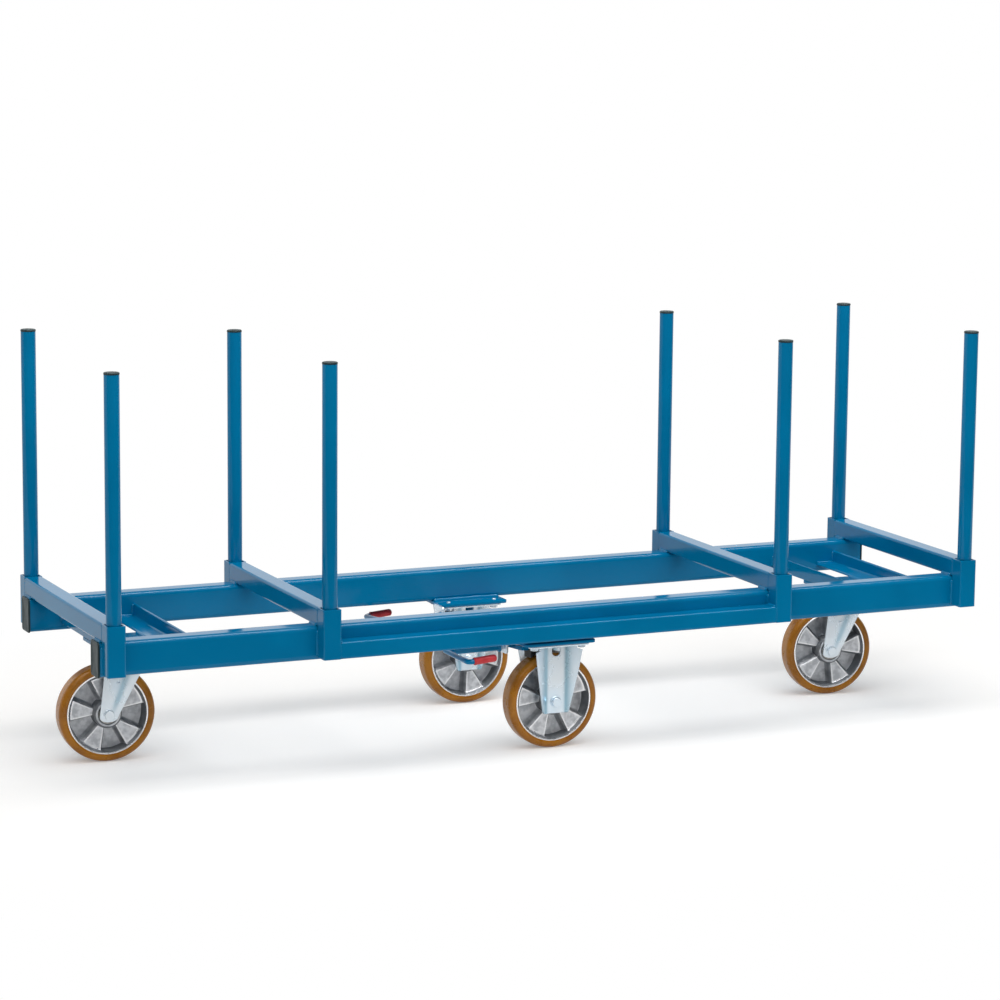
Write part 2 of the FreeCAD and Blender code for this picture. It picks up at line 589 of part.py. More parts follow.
def crank():
    """Near side crank: a round bar bent outwards from the shaft and again into the grip, and the arm."""
    points = crank_corners()
    edges = []
    start = points[0]
    for before, corner, after in zip(points, points[1:], points[2:]):
        back = (before - corner).normalize()
        ahead = (after - corner).normalize()
        half_angle = back.getAngle(ahead) / 2
        first = corner + back * (CRANK_BEND / math.tan(half_angle))
        last = corner + ahead * (CRANK_BEND / math.tan(half_angle))
        inward = (back + ahead).normalize()
        middle = corner + inward * (CRANK_BEND / math.sin(half_angle) - CRANK_BEND)
        edges.append(Part.makeLine(start, first))
        edges.append(Part.Arc(first, middle, last).toShape())
        start = last
    edges.append(Part.makeLine(start, points[-1]))
    section = Part.Wire(Part.Circle(points[0], X_AXIS, BRAKE_BAR).toShape())
    bar = Part.Wire(edges).makePipeShell([section], True, True)
    return bar.fuse(released(shoe_arm(0))).removeSplitter()


def grip():
    """Near side plastic sleeve with a round end, pushed onto the crank."""
    knee, tip = crank_corners()[2:]
    along = (tip - knee).normalize()
    body = rod(GRIP_RADIUS, GRIP_LENGTH, ORIGIN, Z_AXIS)
    end = [edge for edge in body.Edges if edge.Closed and edge.CenterOfMass.z > GRIP_LENGTH - 0.01]
    body = body.makeFillet(GRIP_RADIUS - GRIP_FLAT, end)
    start = knee + along * (CRANK_BEND + GRIP_START)
    body = body.cut(rod(BRAKE_BAR + TIGHT, (tip - start).Length + RUNNING, ORIGIN, Z_AXIS))
    body.Placement = FreeCAD.Placement(start, FreeCAD.Rotation(Z_AXIS, along))
    return body


def shoe():
    """Near side brake shoe: a block that straddles the arm and follows the tread."""
    outline = [(SHOE_LEFT, ARM_HIGH), (SHOE_RIGHT, ARM_HIGH), (SHOE_RIGHT, AXLE_Z), (SHOE_LEFT, AXLE_Z)]
    body = plate_xz(outline, -FIXED_Y - SHOE_HALF, -FIXED_Y + SHOE_HALF)
    wheel = rod(WHEEL_RADIUS + CLEAR, 4 * SHOE_HALF, Vector(0, -FIXED_Y - 2 * SHOE_HALF, AXLE_Z), Y_AXIS)
    return released(body.cut(wheel).cut(shoe_arm(TIGHT)))


def build():
    """Make every node and write it."""
    os.makedirs("parts", exist_ok=True)
    near_rail = rail()
    write("near_rail", near_rail)
    write("far_rail", across(near_rail))
    write("rail_end_caps", *[rail_cap(end, side) for end in (-1, 1) for side in (-1, 1)])
    write("end_cross_bars", cross_bar(STAKE_X[0]), cross_bar(STAKE_X[3]))
    write("inner_cross_bars", cross_bar(STAKE_X[1]), cross_bar(STAKE_X[2]))
    sockets = [stake_socket(x) for x in STAKE_X]
    write("near_stake_sockets", *sockets)
    write("far_stake_sockets", *[across(socket) for socket in sockets])
    near_bar = side_bar()
    write("near_side_bar", near_bar)
    write("far_side_bar", across(near_bar))

    for number, x in enumerate(STAKE_X, 1):
        for side, y in (("near", -STAKE_ROW), ("far", STAKE_ROW)):
            lift = STAKE_PROUD if (side, number) == ("far", 1) else 0.0
            write(f"{side}_stake_{number}", stake(x, y, lift))
            write(f"{side}_stake_cap_{number}", stake_cap(x, y, lift))

    write("left_end_angles", *angle_pair(-CASTER_X))
    write("right_end_angles", *angle_pair(CASTER_X))
    write("swivel_mount_plates", *[drilled_plate(x, 0, ANGLE_BOTTOM, ANGLE_SPAN, SWIVEL_MOUNT_WIDE,
                                                 MOUNT_PLATE, MOUNT_CORNER)
                                   for x in (-CASTER_X, CASTER_X)])
    write("fixed_mount_plates", *[drilled_plate(0, side * FIXED_Y, RAIL_BOTTOM, FIXED_MOUNT_LONG,
                                                FIXED_MOUNT_WIDE, FIXED_MOUNT_PLATE, FIXED_MOUNT_CORNER)
                                  for side in (-1, 1)])
    write("mounting_bolts", *mounting_bolts())

    write("swivel_plates", swivel_plate(-CASTER_X), swivel_plate(CASTER_X))
    write("kingpins", kingpin(-CASTER_X), kingpin(CASTER_X))
    places = {"near": (0.0, -FIXED_Y, 0.0), "far": (0.0, FIXED_Y, 0.0)}
    for name, x, yaw in (("left", -CASTER_X, LEFT_YAW), ("right", CASTER_X, RIGHT_YAW)):
        write(f"{name}_swivel_fork", swivel_fork(x, yaw))
        wheel_x, wheel_y = swivel_axle_at(x, yaw)
        places[name] = (wheel_x, wheel_y, yaw)
        write(f"{name}_swivel_axle", stand_up(axle(LEG_INNER + LEG_THICK), wheel_x, wheel_y, yaw))
    near_fork = fixed_fork()
    write("near_fixed_fork", near_fork)
    write("far_fixed_fork", across(near_fork))
    fixed_axle = axle(LEG_INNER + LEG_THICK)
    write("fixed_axles", stand_up(fixed_axle, 0, -FIXED_Y), stand_up(fixed_axle, 0, FIXED_Y))
    for name, (x, y, yaw) in places.items():
        write(f"{name}_wheel_tread", stand_up(tread(), x, y, yaw))
        write(f"{name}_wheel_rim", stand_up(rim(WHEEL_TURN[name]), x, y, yaw))
        write(f"{name}_wheel_bearings", *[stand_up(ring, x, y, yaw) for ring in bearings()])

    write("brake_tubes", brake_tube(), across(brake_tube()))
    write("brake_brackets", brake_bracket(), across(brake_bracket()))
    for name, piece in (("crank", crank()), ("grip", grip()), ("shoe", shoe())):
        write(f"near_brake_{name}", piece)
        write(f"far_brake_{name}", applied(across(piece)))


build()
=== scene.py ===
import math

import bmesh
import bpy
import numpy as np
from mathutils import Matrix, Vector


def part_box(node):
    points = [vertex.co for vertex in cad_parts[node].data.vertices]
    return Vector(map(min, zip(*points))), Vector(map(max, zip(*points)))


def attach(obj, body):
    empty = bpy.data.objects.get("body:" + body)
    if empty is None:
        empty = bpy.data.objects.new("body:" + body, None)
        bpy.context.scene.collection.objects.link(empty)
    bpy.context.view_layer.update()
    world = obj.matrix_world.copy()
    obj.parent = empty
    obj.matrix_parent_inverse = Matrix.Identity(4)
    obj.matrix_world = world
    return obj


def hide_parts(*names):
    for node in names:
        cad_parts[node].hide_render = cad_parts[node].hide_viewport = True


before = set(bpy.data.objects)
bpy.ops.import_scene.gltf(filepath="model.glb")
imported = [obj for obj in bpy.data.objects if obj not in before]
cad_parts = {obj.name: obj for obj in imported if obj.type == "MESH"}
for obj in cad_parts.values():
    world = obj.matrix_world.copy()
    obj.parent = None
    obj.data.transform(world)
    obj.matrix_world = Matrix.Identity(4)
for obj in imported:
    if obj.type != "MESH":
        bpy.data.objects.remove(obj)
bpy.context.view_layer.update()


# Side rails: two lengths of 90 x 60 rectangular hollow section, sawn square at both ends.
# Cold-formed steel with rounded corners, welded up with the rest of the frame and powder coated
# blue after welding, so every other painted piece below takes its finish from here.
sides = ("near", "far")
rail_corner = 0.012
rail_wall = 0.004
sawn_edge = 0.0008
blue_deep = (0.0, 0.160, 0.338, 1)
blue_light = (0.0, 0.180, 0.376, 1)


def span(node):
    """Low corner, high corner, middle and half size of a node of the frame."""
    low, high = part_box(node)
    return low, high, (low + high) / 2, (high - low) / 2


def on_circle(angle):
    """Points (cos a, sin a), one for each angle."""
    return np.stack([np.cos(angle), np.sin(angle)], axis=-1)


def full_turn(columns):
    """Angles of evenly spaced points round a circle."""
    return np.linspace(0, 2 * np.pi, columns, endpoint=False)


def there_and_back(values):
    """Values, then the same values in reverse."""
    return np.concatenate([values, values[::-1]])


def rounded_outline(half_wide, half_tall, corner, inset, keep=1.0):
    """Rounded rectangles, one for each inset, shrunk by keep about their middle. A corner is a quarter
    circle, centre + radius (cos a, sin a); one more point a little way along each flat keeps it flat."""
    steps = 6
    ease = 0.0012
    least = 0.0004
    inset = np.atleast_1d(inset)[:, None, None]
    turn = np.radians(np.concatenate([[0.0], np.linspace(0, 90, steps + 1), [90.0]]))
    slide = np.concatenate([[-ease], np.zeros(steps + 1), [ease]])
    angle = turn + np.radians(90) * np.arange(4)[:, None]
    right = np.array([1, -1, -1, 1])[:, None]
    up = np.array([1, 1, -1, -1])[:, None]
    radius = np.maximum(corner - inset, least)
    x = right * (half_wide - inset - radius) + radius * np.cos(angle) - slide * np.sin(angle)
    y = up * (half_tall - inset - radius) + radius * np.sin(angle) + slide * np.cos(angle)
    outline = np.stack([x, y], axis=-1).reshape(len(inset), -1, 2)
    return outline * np.reshape(keep, (-1, 1, 1))


def stack(outlines, heights):
    """Outlines (stations x points x 2) set at their heights along the third axis."""
    level = np.broadcast_to(np.reshape(heights, (-1, 1, 1)), outlines.shape[:2] + (1,))
    return np.concatenate([outlines, level], axis=2)


def lay(points, axis, centre=(0, 0, 0)):
    """Turn a shape built along its third axis to run along x, y or z, and move it to its centre."""
    return np.roll(points, "zxy".index(axis), axis=-1) + np.asarray(centre)


def hollow_bar(half_wide, half_tall, corner, wall, start, end):
    """A box section along its third axis: outlines from the bore's edge over the sawn face, along the
    outside and over the other face. The last outline joins the first through the bore."""
    inset = np.array([wall, sawn_edge, 0.3 * sawn_edge, 0, 0])
    rise = sawn_edge * np.array([0, 0, 0.3, 1, 3])
    outline = rounded_outline(half_wide, half_tall, corner, there_and_back(inset))
    return stack(outline, np.concatenate([start + rise, end - rise[::-1]]))


def add(name, data):
    """A new object in the scene."""
    made = bpy.data.objects.new(name, data)
    bpy.context.scene.collection.objects.link(made)
    return made


def piece(name, grids, finish, body, nodes=(), loop=False, ring=True, sharp=40.0, marks=None):
    """One object of the cart; its finish is a material and a slot name, and the slot name is not used. A grid
    of points (rows x columns x 3) becomes quads between neighbours; the columns close into a ring, and with
    loop the rows do too. Doubled points are merged, faces turned outwards and edges sharper than an angle
    shaded hard; an open sheet is left as its grid runs."""
    points, faces, start = [], [], 0
    for grid in grids:
        rows, columns = grid.shape[:2]
        row = np.arange(rows if loop else rows - 1)[:, None]
        column = np.arange(columns if ring else columns - 1)
        beside = (column + 1) % columns
        here = row * columns
        above = (row + 1) % rows * columns
        quads = np.stack([here + column, here + beside, above + beside, above + column], axis=-1)
        faces.append(quads.reshape(-1, 4) + start)
        points.append(grid.reshape(-1, 3))
        start += rows * columns
    points = np.concatenate(points)
    faces = np.concatenate(faces)
    faces = faces[np.isfinite(points[faces]).all(axis=(1, 2))]
    mesh = bpy.data.meshes.new(name)
    mesh.from_pydata(np.nan_to_num(points).tolist(), [], faces.tolist())
    for mark, values in (marks or {}).items():
        mesh.attributes.new(mark, "FLOAT", "POINT").data.foreach_set("value", np.ravel(values))
    work = bmesh.new()
    work.from_mesh(mesh)
    bmesh.ops.remove_doubles(work, verts=work.verts, dist=1e-6)
    loose = [vert for vert in work.verts if not vert.link_faces]
    bmesh.ops.delete(work, geom=loose, context="VERTS")
    if ring:
        bmesh.ops.recalc_face_normals(work, faces=work.faces)
    work.to_mesh(mesh)
    work.free()
    mesh.polygons.foreach_set("use_smooth", np.ones(len(mesh.polygons), bool))
    if ring:
        mesh.set_sharp_from_angle(angle=math.radians(sharp))
    material, slot = finish
    mesh.materials.append(material)
    made = add(name, mesh)
    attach(made, body)
    if nodes:
        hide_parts(*nodes)
    return made


class Wire:
    """One output socket of a material's nodes; sums and products of Wires and numbers add Math nodes."""

    def __init__(self, tree, socket=None):
        self.tree = tree
        self.socket = socket

    def node(self, kind, settings, sockets, output=0):
        """Add a node: its settings, then values or Wires on its sockets; gives one of its outputs."""
        made = self.tree.nodes.new(kind)
        for key, value in settings.items():
            setattr(made, key, value)
        for key, value in sockets.items():
            if isinstance(value, Wire):
                self.tree.links.new(value.socket, made.inputs[key])
            else:
                made.inputs[key].default_value = value
        return Wire(self.tree, made.outputs[output] if made.outputs else None)

    def math(self, operation, *values):
        return self.node("ShaderNodeMath", {"operation": operation}, dict(enumerate(values)))

    def __add__(self, other):
        return self.math("ADD", self, other)

    def __sub__(self, other):
        return self.math("SUBTRACT", self, other)

    def __rsub__(self, other):
        return self.math("SUBTRACT", other, self)

    def __mul__(self, other):
        return self.math("MULTIPLY", self, other)

    __radd__ = __add__
    __rmul__ = __mul__

    def either(self, other):
        """The larger of the two."""
        return self.math("MAXIMUM", self, other)

    def step(self, low, high):
        """0 below low, 1 above high and a smooth rise between."""
        sockets = {"Value": self, "From Min": low, "From Max": high}
        return self.node("ShaderNodeMapRange", {"interpolation_type": "SMOOTHSTEP"}, sockets)

    def mix(self, first, second):
        """The first colour where this is 0, the second where it is 1."""
        return self.node("ShaderNodeMix", {"data_type": "RGBA"}, {0: self, 6: first, 7: second}, 2)

    def noise(self, scale, detail=2.0):
        """Smooth noise, 0 to 1, at this place; scale is in lumps per metre."""
        sockets = {"Vector": self, "Scale": scale, "Detail": detail}
        return self.node("ShaderNodeTexNoise", {}, sockets, "Fac")

    def mark(self, name):
        """A value that the piece's points carry."""
        return self.node("ShaderNodeAttribute", {"attribute_name": name}, {}, "Fac")

    def part(self, axis):
        """One coordinate, X, Y or Z, of this place."""
        return self.node("ShaderNodeSeparateXYZ", {}, {0: self}, axis)

    def ray(self, kind):
        """1 on rays of this kind, 0 on others."""
        return self.node("ShaderNodeLightPath", {}, {}, f"Is {kind} Ray")

    def stretch(self, factors):
        """This place with each axis scaled."""
        return self.node("ShaderNodeMapping", {}, {"Vector": self, "Scale": factors}, "Vector")

    def bump(self, strength, depth):
        """A normal tilted by this height; depth is the height in metres of a rise from 0 to 1."""
        sockets = {"Height": self, "Strength": strength, "Distance": depth}
        return self.node("ShaderNodeBump", {}, sockets, "Normal")

    def surface(self, sockets):
        """End the material in one Principled shader."""
        shader = self.node("ShaderNodeBsdfPrincipled", {}, sockets)
        self.node("ShaderNodeOutputMaterial", {}, {"Surface": shader})


def new_finish(name):
    """An empty material, and the piece's own coordinates in it."""
    finish = bpy.data.materials.new(name)
    finish.use_nodes = True
    finish.node_tree.nodes.clear()
    return finish, Wire(finish.node_tree).node("ShaderNodeTexCoord", {}, {}, "Object")


def powder_coat():
    """Baked powder: a smooth gloss film with a fine orange peel, a little thicker in some places."""
    finish, place = new_finish("blue_powder_coat")
    thickness = place.noise(4.0).step(0.35, 0.65)
    peel = place.noise(420.0) + 0.35 * place.noise(1100.0)
    place.surface({
        "Base Color": thickness.mix(blue_deep, blue_light),
        "Roughness": 0.07 + 0.08 * place.noise(30.0),
        "Specular IOR Level": 0.16,
        "Normal": peel.bump(0.15, 0.0002),
    })
    return finish


def long_bar(node, name, corner, wall):
    """A painted box section that runs along the cart in the place of a node."""
    low, high, middle, half = span(node)
    bar = hollow_bar(half.y, half.z, corner, wall, low.x, high.x)
    piece(name, [lay(bar, "x", (0, middle.y, middle.z))], blue_paint, "frame", [node], loop=True)


blue_paint = (powder_coat(), "blue_paint")
for side in sides:
    long_bar(f"{side}_rail", f"{side}_rail_tube", rail_corner, rail_wall)


# Rail end caps: a dark plastic plug pushed into each rail end, with a flange that covers the sawn face.
# Moulded with a softly rounded rim, a shallow dished face and a fine spark-eroded grain.
clearance = 0.0001
cap_corner = 0.008
cap_flange = 0.005
cap_edge = 0.0004
cap_rim = 0.0022
cap_plug = 0.022
cap_dish = 0.0008
dish_start = 0.006
dish_end = 0.008
cap_dark = (0.016, 0.032, 0.035, 1)
cap_light = (0.028, 0.046, 0.049, 1)


def moulded_plastic(name, dark, light, roughness, grain):
    """Moulded plastic: fine even grain, with a slow drift of colour and gloss."""
    finish, place = new_finish(name)
    pores = place.noise(grain, 4.0)
    place.surface({
        "Base Color": place.noise(25.0).step(0.3, 0.7).mix(dark, light),
        "Roughness": roughness + 0.12 * place.noise(60.0),
        "Specular IOR Level": 0.18,
        "Normal": pores.bump(0.35, 0.00025),
    })
    return finish


def rail_cap(half_wide, half_tall):
    """Outlines from the plug's end, out along the plug, over the flange's rounded rim to its dished face."""
    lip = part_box("near_rail")[0].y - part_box("rail_end_caps")[0].y
    round_off = cap_rim * (1 - on_circle(np.radians([0, 30, 60, 90])))
    plug = lip + rail_wall + clearance
    dish = [dish_start, dish_end, dish_end]
    inset = np.concatenate([[plug, plug, plug, cap_edge, 0.0], round_off[:, 0], dish])
    drop = np.concatenate([round_off[:, 1], [0, cap_dish, cap_dish]])
    level = np.concatenate([[-cap_plug, -cap_plug, 0, 0, cap_edge], cap_flange - drop])
    keep = np.ones(len(inset))
    keep[[0, -1]] = 0
    return stack(rounded_outline(half_wide + lip, half_tall + lip, cap_corner, inset, keep), level)


grey_plastic = (moulded_plastic("grey_cap_plastic", cap_dark, cap_light, 0.38, 2600.0), "grey_plastic")
caps = []
for side in sides:
    low, high, middle, half = span(f"{side}_rail")
    cap = rail_cap(half.y, half.z)
    caps.append(lay(cap, "x", (high.x, middle.y, middle.z)))
    caps.append(lay(cap * [1, 1, -1], "x", (low.x, middle.y, middle.z)))
piece("rail_cap_plugs", caps, grey_plastic, "frame", ["rail_end_caps"])


# Cross bars: four lengths of 50 x 50 square tube that lie on both rails and carry the load.
# Each runs from socket to socket, is welded to the rails below it and closed by the sockets at its ends.
bar_corner = 0.006
bar_wall = 0.004
low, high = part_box("end_cross_bars")
deck = high.z
half_bar = (deck - low.z) / 2
stake_rows = []
for node in ("end_cross_bars", "inner_cross_bars"):
    low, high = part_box(node)
    places = [low.x + half_bar, high.x - half_bar]
    tube = hollow_bar(half_bar, half_bar, bar_corner, bar_wall, low.y, high.y)
    bars = [lay(tube, "y", (x, 0, deck - half_bar)) for x in places]
    piece(f"{node}_tubes", bars, blue_paint, "frame", [node], loop=True)
    stake_rows += places


# Stake sockets: eight short uprights of the same square tube on the outside of the rails.
# The stakes drop into them and stand on a plate welded in near the bottom, with a drain hole.
socket_floor = 0.005
socket_drain = 0.007
floor_rise = 0.0003
floor_bite = 0.0005
floor_corner = 0.001
stake_rows = sorted(stake_rows)


def drained_floor(half, low, high):
    """A square plate with a round hole: outlines that change from the square to the hole's circle."""
    square = rounded_outline(half, half, floor_corner, [0.0])[0]
    circle = socket_drain * on_circle(np.arctan2(square[:, 1], square[:, 0]))
    return stack(np.stack([circle, square, square, circle]), [low, low, high, high])


for side in sides:
    node = f"{side}_stake_sockets"
    low, high, middle, half = span(node)
    tube = hollow_bar(half_bar, half_bar, bar_corner, bar_wall, low.z, high.z)
    floor = drained_floor(half_bar - bar_wall + floor_bite, low.z + floor_rise, low.z + socket_floor)
    sockets = [lay(shape, "z", (x, middle.y, 0)) for x in stake_rows for shape in (tube, floor)]
    piece(f"{side}_socket_tubes", sockets, blue_paint, "frame", [node], loop=True)


# Side bars: a stiffener of flat box section along the outside of each rail, between the inner sockets.
# Plug welded to the rail from inside and butted against the sockets, so its long edges stay clean.
side_bar_corner = 0.005
side_bar_wall = 0.003
for side in sides:
    long_bar(f"{side}_side_bar", f"{side}_stiffener_bar", side_bar_corner, side_bar_wall)


# Cross angles: two pairs of rolled steel angle between the rails, upright legs outwards, flat legs below.
# The swivel casters hang under the flat legs. Rolled toes are rounded and the root has a fillet.
ends = ("left", "right")
angle_wide = 0.060
angle_tall = 0.040
angle_thick = 0.006
angle_root = 0.006
angle_toe = 0.0045
angle_heel = 0.0012


def eased(corners, radius, steps=4):
    """A closed outline with rounded corners: the curve (1-t)(1-t) a + 2t(1-t) p + tt b, where p is a
    corner and a, b the points a radius before and after it."""
    corners = np.asarray(corners, float)
    behind = np.roll(corners, 1, axis=0) - corners
    ahead = np.roll(corners, -1, axis=0) - corners
    behind /= np.linalg.norm(behind, axis=1, keepdims=True)
    ahead /= np.linalg.norm(ahead, axis=1, keepdims=True)
    reach = np.broadcast_to(radius, len(corners))[:, None]
    t = np.linspace(0, 1, steps + 1)[None, :, None]
    first = (corners + behind * reach)[:, None]
    last = (corners + ahead * reach)[:, None]
    curve = (1 - t) ** 2 * first + 2 * t * (1 - t) * corners[:, None] + t ** 2 * last
    return curve.reshape(-1, corners.shape[1])


def prism(outline, inside, low, high):
    """An outline carried straight from one height to another; a fan from a point inside closes each end."""
    end = np.array([0, 1, 1, 0])[:, None, None]
    return stack(inside + end * (outline - inside), [low, low, high, high])


def angle_bar(length):
    """An L outline with round toes and root, carried along the length."""
    a, b, t = angle_wide, angle_tall, angle_thick
    corners = np.array([(0, 0), (0, -a), (t, -a), (t, -t), (b, -t), (b, 0)])
    toes = [angle_heel, angle_heel, angle_toe, angle_root, angle_toe, angle_heel]
    return prism(eased(corners, toes), np.array([t / 2, -t / 2]), -length / 2, length / 2)


rail_gap = 2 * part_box("far_rail")[0].y
for end in ends:
    node = f"{end}_end_angles"
    low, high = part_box(node)
    right = lay(angle_bar(rail_gap), "y", (high.x, 0, low.z))
    left = right * [-1, 1, 1] + [low.x + high.x, 0, 0]
    piece(f"{end}_angle_pair", [left, right], blue_paint, "frame", [node])


# Mounting plates: 10 mm steel, flame cut and painted with the frame. Two are welded under the cross angles
# for the swivel casters, two under the rails for the fixed casters.
mount_corner = 0.004
fixed_mount_corner = 0.014
caster_x = span("right_end_angles")[2].x
fixed_y = span("near_fixed_fork")[2].y
swivel_places = ([-caster_x, 0, 0], [caster_x, 0, 0])
fixed_places = ([0, fixed_y, 0], [0, -fixed_y, 0])


def slab(half_wide, half_tall, corner, low, high, edge=0.001):
    """A plate: outlines from the middle of its under face, round its softened edge, to the middle on top."""
    inset = np.array([edge, edge, 0.3 * edge, 0])
    rise = edge * np.array([0, 0, 0.3, 1])
    keep = there_and_back([0, 1, 1, 1])
    outline = rounded_outline(half_wide, half_tall, corner, there_and_back(inset), keep)
    return stack(outline, np.concatenate([low + rise, high - rise[::-1]]))


low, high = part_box("swivel_mount_plates")
plate = slab(high.x - caster_x, high.y, mount_corner, low.z, high.z)
plates = [plate + at for at in swivel_places]
piece("swivel_carrier_plates", plates, blue_paint, "frame", ["swivel_mount_plates"])
low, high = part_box("fixed_mount_plates")
plate = slab(high.x, high.y + fixed_y, fixed_mount_corner, low.z, high.z)
plates = [plate + at for at in fixed_places]
piece("fixed_carrier_plates", plates, blue_paint, "frame", ["fixed_mount_plates"])


# Welds: convex beads of filler along the frame's open seams, laid in one pass and painted over.
# A bead fills the groove at a tube's rounded corner; its ripples trail behind the arc.
bead_pitch = 0.0032
ripple = 0.05
ripple_trail = 0.5
wander_size = 0.06
wander_rate = 97.0
wander_shift = 41.0
root_depth = 0.25
weld_leg = 0.0045
weld_tall = 0.0068
weld_lean = 0.0006
mount_tall = 0.0075
carrier_tall = 0.005
carrier_lean = 0.001
carrier_start = 0.010
socket_leg = 0.006
socket_lean = 0.0004
angle_leg = 0.0048
tight_end = 0.002
side_end = 0.003
short_end = 0.004
bar_end = 0.005
clear_end = 0.006
rail_end = 0.010
groove_half = 0.0028
groove_crown = 0.0015
groove_out = 0.0025
groove_in = 0.002
rail_low, rail_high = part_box("far_rail")
side_low, side_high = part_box("far_side_bar")
socket_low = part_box("far_stake_sockets")[0]
mount_low, mount_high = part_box("fixed_mount_plates")


def bead(start, end, first, second):
    """A weld between two points: the curve cos(a) first + sin(a) second swept along the seam, its size
    swelling and shrinking with a sine whose phase trails at the edges, and rounded off at both ends."""
    start, end, first, second = (np.asarray(v, float) for v in (start, end, first, second))
    length = np.linalg.norm(end - start)
    size = (np.linalg.norm(first) + np.linalg.norm(second)) / 2
    rows = max(int(length / bead_pitch * 4), 6)
    along = np.linspace(0, length, rows)[:, None]
    turn = np.radians(np.linspace(0, 90, 6))
    wave = np.sin((along + ripple_trail * size * np.cos(2 * turn + np.pi)) * 2 * np.pi / bead_pitch)
    wander = wander_size * np.sin(along * wander_rate + start.sum() * wander_shift)
    nose = np.minimum(np.minimum(along, length - along) / size, 1)
    swell = np.sqrt(1 - (1 - nose) ** 2) * (1 + ripple * wave + wander)
    face = np.cos(turn)[:, None] * first + np.sin(turn)[:, None] * second
    root = np.broadcast_to(-root_depth * (first + second), (rows, 1, 3))
    section = np.concatenate([swell[:, :, None] * face, root * swell[:, :1, None]], axis=1)
    return start + along[:, :, None] * (end - start) / length + section


def groove_bead(start, end, out, across):
    """A low weld in the groove at a rounded corner, crowned outwards and flat across."""
    crown = groove_crown * np.array(out)
    wide = groove_half * np.array(across)
    return bead(start, end, crown - wide, crown + wide)


def both_sides(beads):
    """The same welds on the near side of the cart."""
    return beads + [weld * [1, -1, 1] for weld in beads]


seams = []
inner, outer, top = rail_low.y, rail_high.y, rail_high.z
lap = outer + groove_out
for x in stake_rows:
    for way in (-1, 1):
        edge = x + way * half_bar
        leg = (way * weld_leg, 0, 0)
        seams.append(bead((edge, outer, socket_low.z + tight_end), (edge, outer, top - rail_end),
                          leg, (-way * weld_lean, weld_tall, 0)))
        seams.append(bead((edge, inner + clear_end, top), (edge, outer - clear_end, top),
                          leg, (-way * weld_lean, 0, weld_tall)))
        groove = edge - way * groove_in
        seams.append(groove_bead((groove, lap, top), (groove, lap, deck - short_end),
                                 (way, 0, 0), (0, 1, 0)))
    start = (x - half_bar + bar_end, lap, deck - groove_in)
    stop = (x + half_bar - bar_end, lap, deck - groove_in)
    seams.append(groove_bead(start, stop, (0, 0, 1), (0, 1, 0)))
piece("socket_welds", both_sides(seams), blue_paint, "frame", sharp=60.0)

seams = []
for way in (-1, 1):
    tip = way * side_high.x
    seams.append(bead((tip, side_low.y + clear_end, side_high.z), (tip, side_high.y - short_end, side_high.z),
                      (-way * socket_leg, 0, -socket_lean), (way * socket_lean, 0, weld_leg)))
    groove = (tip + way * groove_out, side_high.y - groove_in)
    seams.append(groove_bead((*groove, side_low.z + side_end), (*groove, side_high.z - side_end),
                             (0, 1, 0), (1, 0, 0)))
first, last = mount_low.x + short_end, mount_high.x - short_end
for edge, way in ((rail_low.y, -1), (rail_high.y, 1)):
    seams.append(bead((first, edge, rail_low.z), (last, edge, rail_low.z),
                      (0, way * weld_leg, 0), (0, -way * weld_lean, mount_tall)))
carrier_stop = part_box("swivel_mount_plates")[1].y - clear_end
for end in ends:
    low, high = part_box(f"{end}_end_angles")
    seat = low.z + angle_thick
    for face, way in ((low.x, -1), (low.x + angle_thick, 1), (high.x - angle_thick, -1), (high.x, 1)):
        seams.append(bead((face, high.y, seat), (face, high.y, high.z - tight_end),
                          (way * angle_leg, 0, 0), (0, -angle_leg, 0)))
    toes = (low.x + angle_wide, high.x - angle_wide)
    for toe, heel in zip(toes, (low.x + angle_thick, high.x - angle_thick)):
        seams.append(bead((toe, high.y, seat), (heel, high.y, seat), (0, -angle_leg, 0), (0, 0, angle_leg)))
    for toe, way in zip(toes, (1, -1)):
        seams.append(bead((toe, carrier_start, low.z), (toe, carrier_stop, low.z),
                          (way * weld_leg, 0, 0), (-way * carrier_lean, 0, carrier_tall)))
piece("frame_welds", both_sides(seams), blue_paint, "frame", sharp=60.0)


# Stakes: eight round tubes, 40 mm across, painted like the frame and dropped loose into the sockets.
# Each is closed at the top by a dark plastic plug with a rounded head that sits on the tube's end.
stake_wall = 0.003
cap_round = 0.0026
cap_overhang = 0.0006
lip_edge = 0.0003
stem_edge = 0.001
head_rise = 0.0012
ring_columns = 64


def turned(profile, columns=ring_columns):
    """A lathe shape about the third axis: each (radius, height) of the profile carried round a circle."""
    radius, height = np.asarray(profile, float).T
    return stack(radius[:, None, None] * on_circle(full_turn(columns)), height)


def stake_plug(radius, low, seat, top):
    """Profile of a plug: the stem inside the tube, a lip on its end and a gently domed head."""
    stem = radius - cap_overhang - stake_wall - clearance
    base = [(0, low), (stem - stem_edge, low), (stem, low + stem_edge), (stem, seat)]
    lip = [(radius - lip_edge, seat), (radius, seat + lip_edge)]
    head = [radius, top - head_rise] - cap_round * (1 - on_circle(np.radians(np.linspace(0, 90, 7))))
    dome = [(radius * 0.55, top - 0.0003), (radius * 0.25, top), (0, top)]
    return np.array([*base, *lip, *head, *dome])


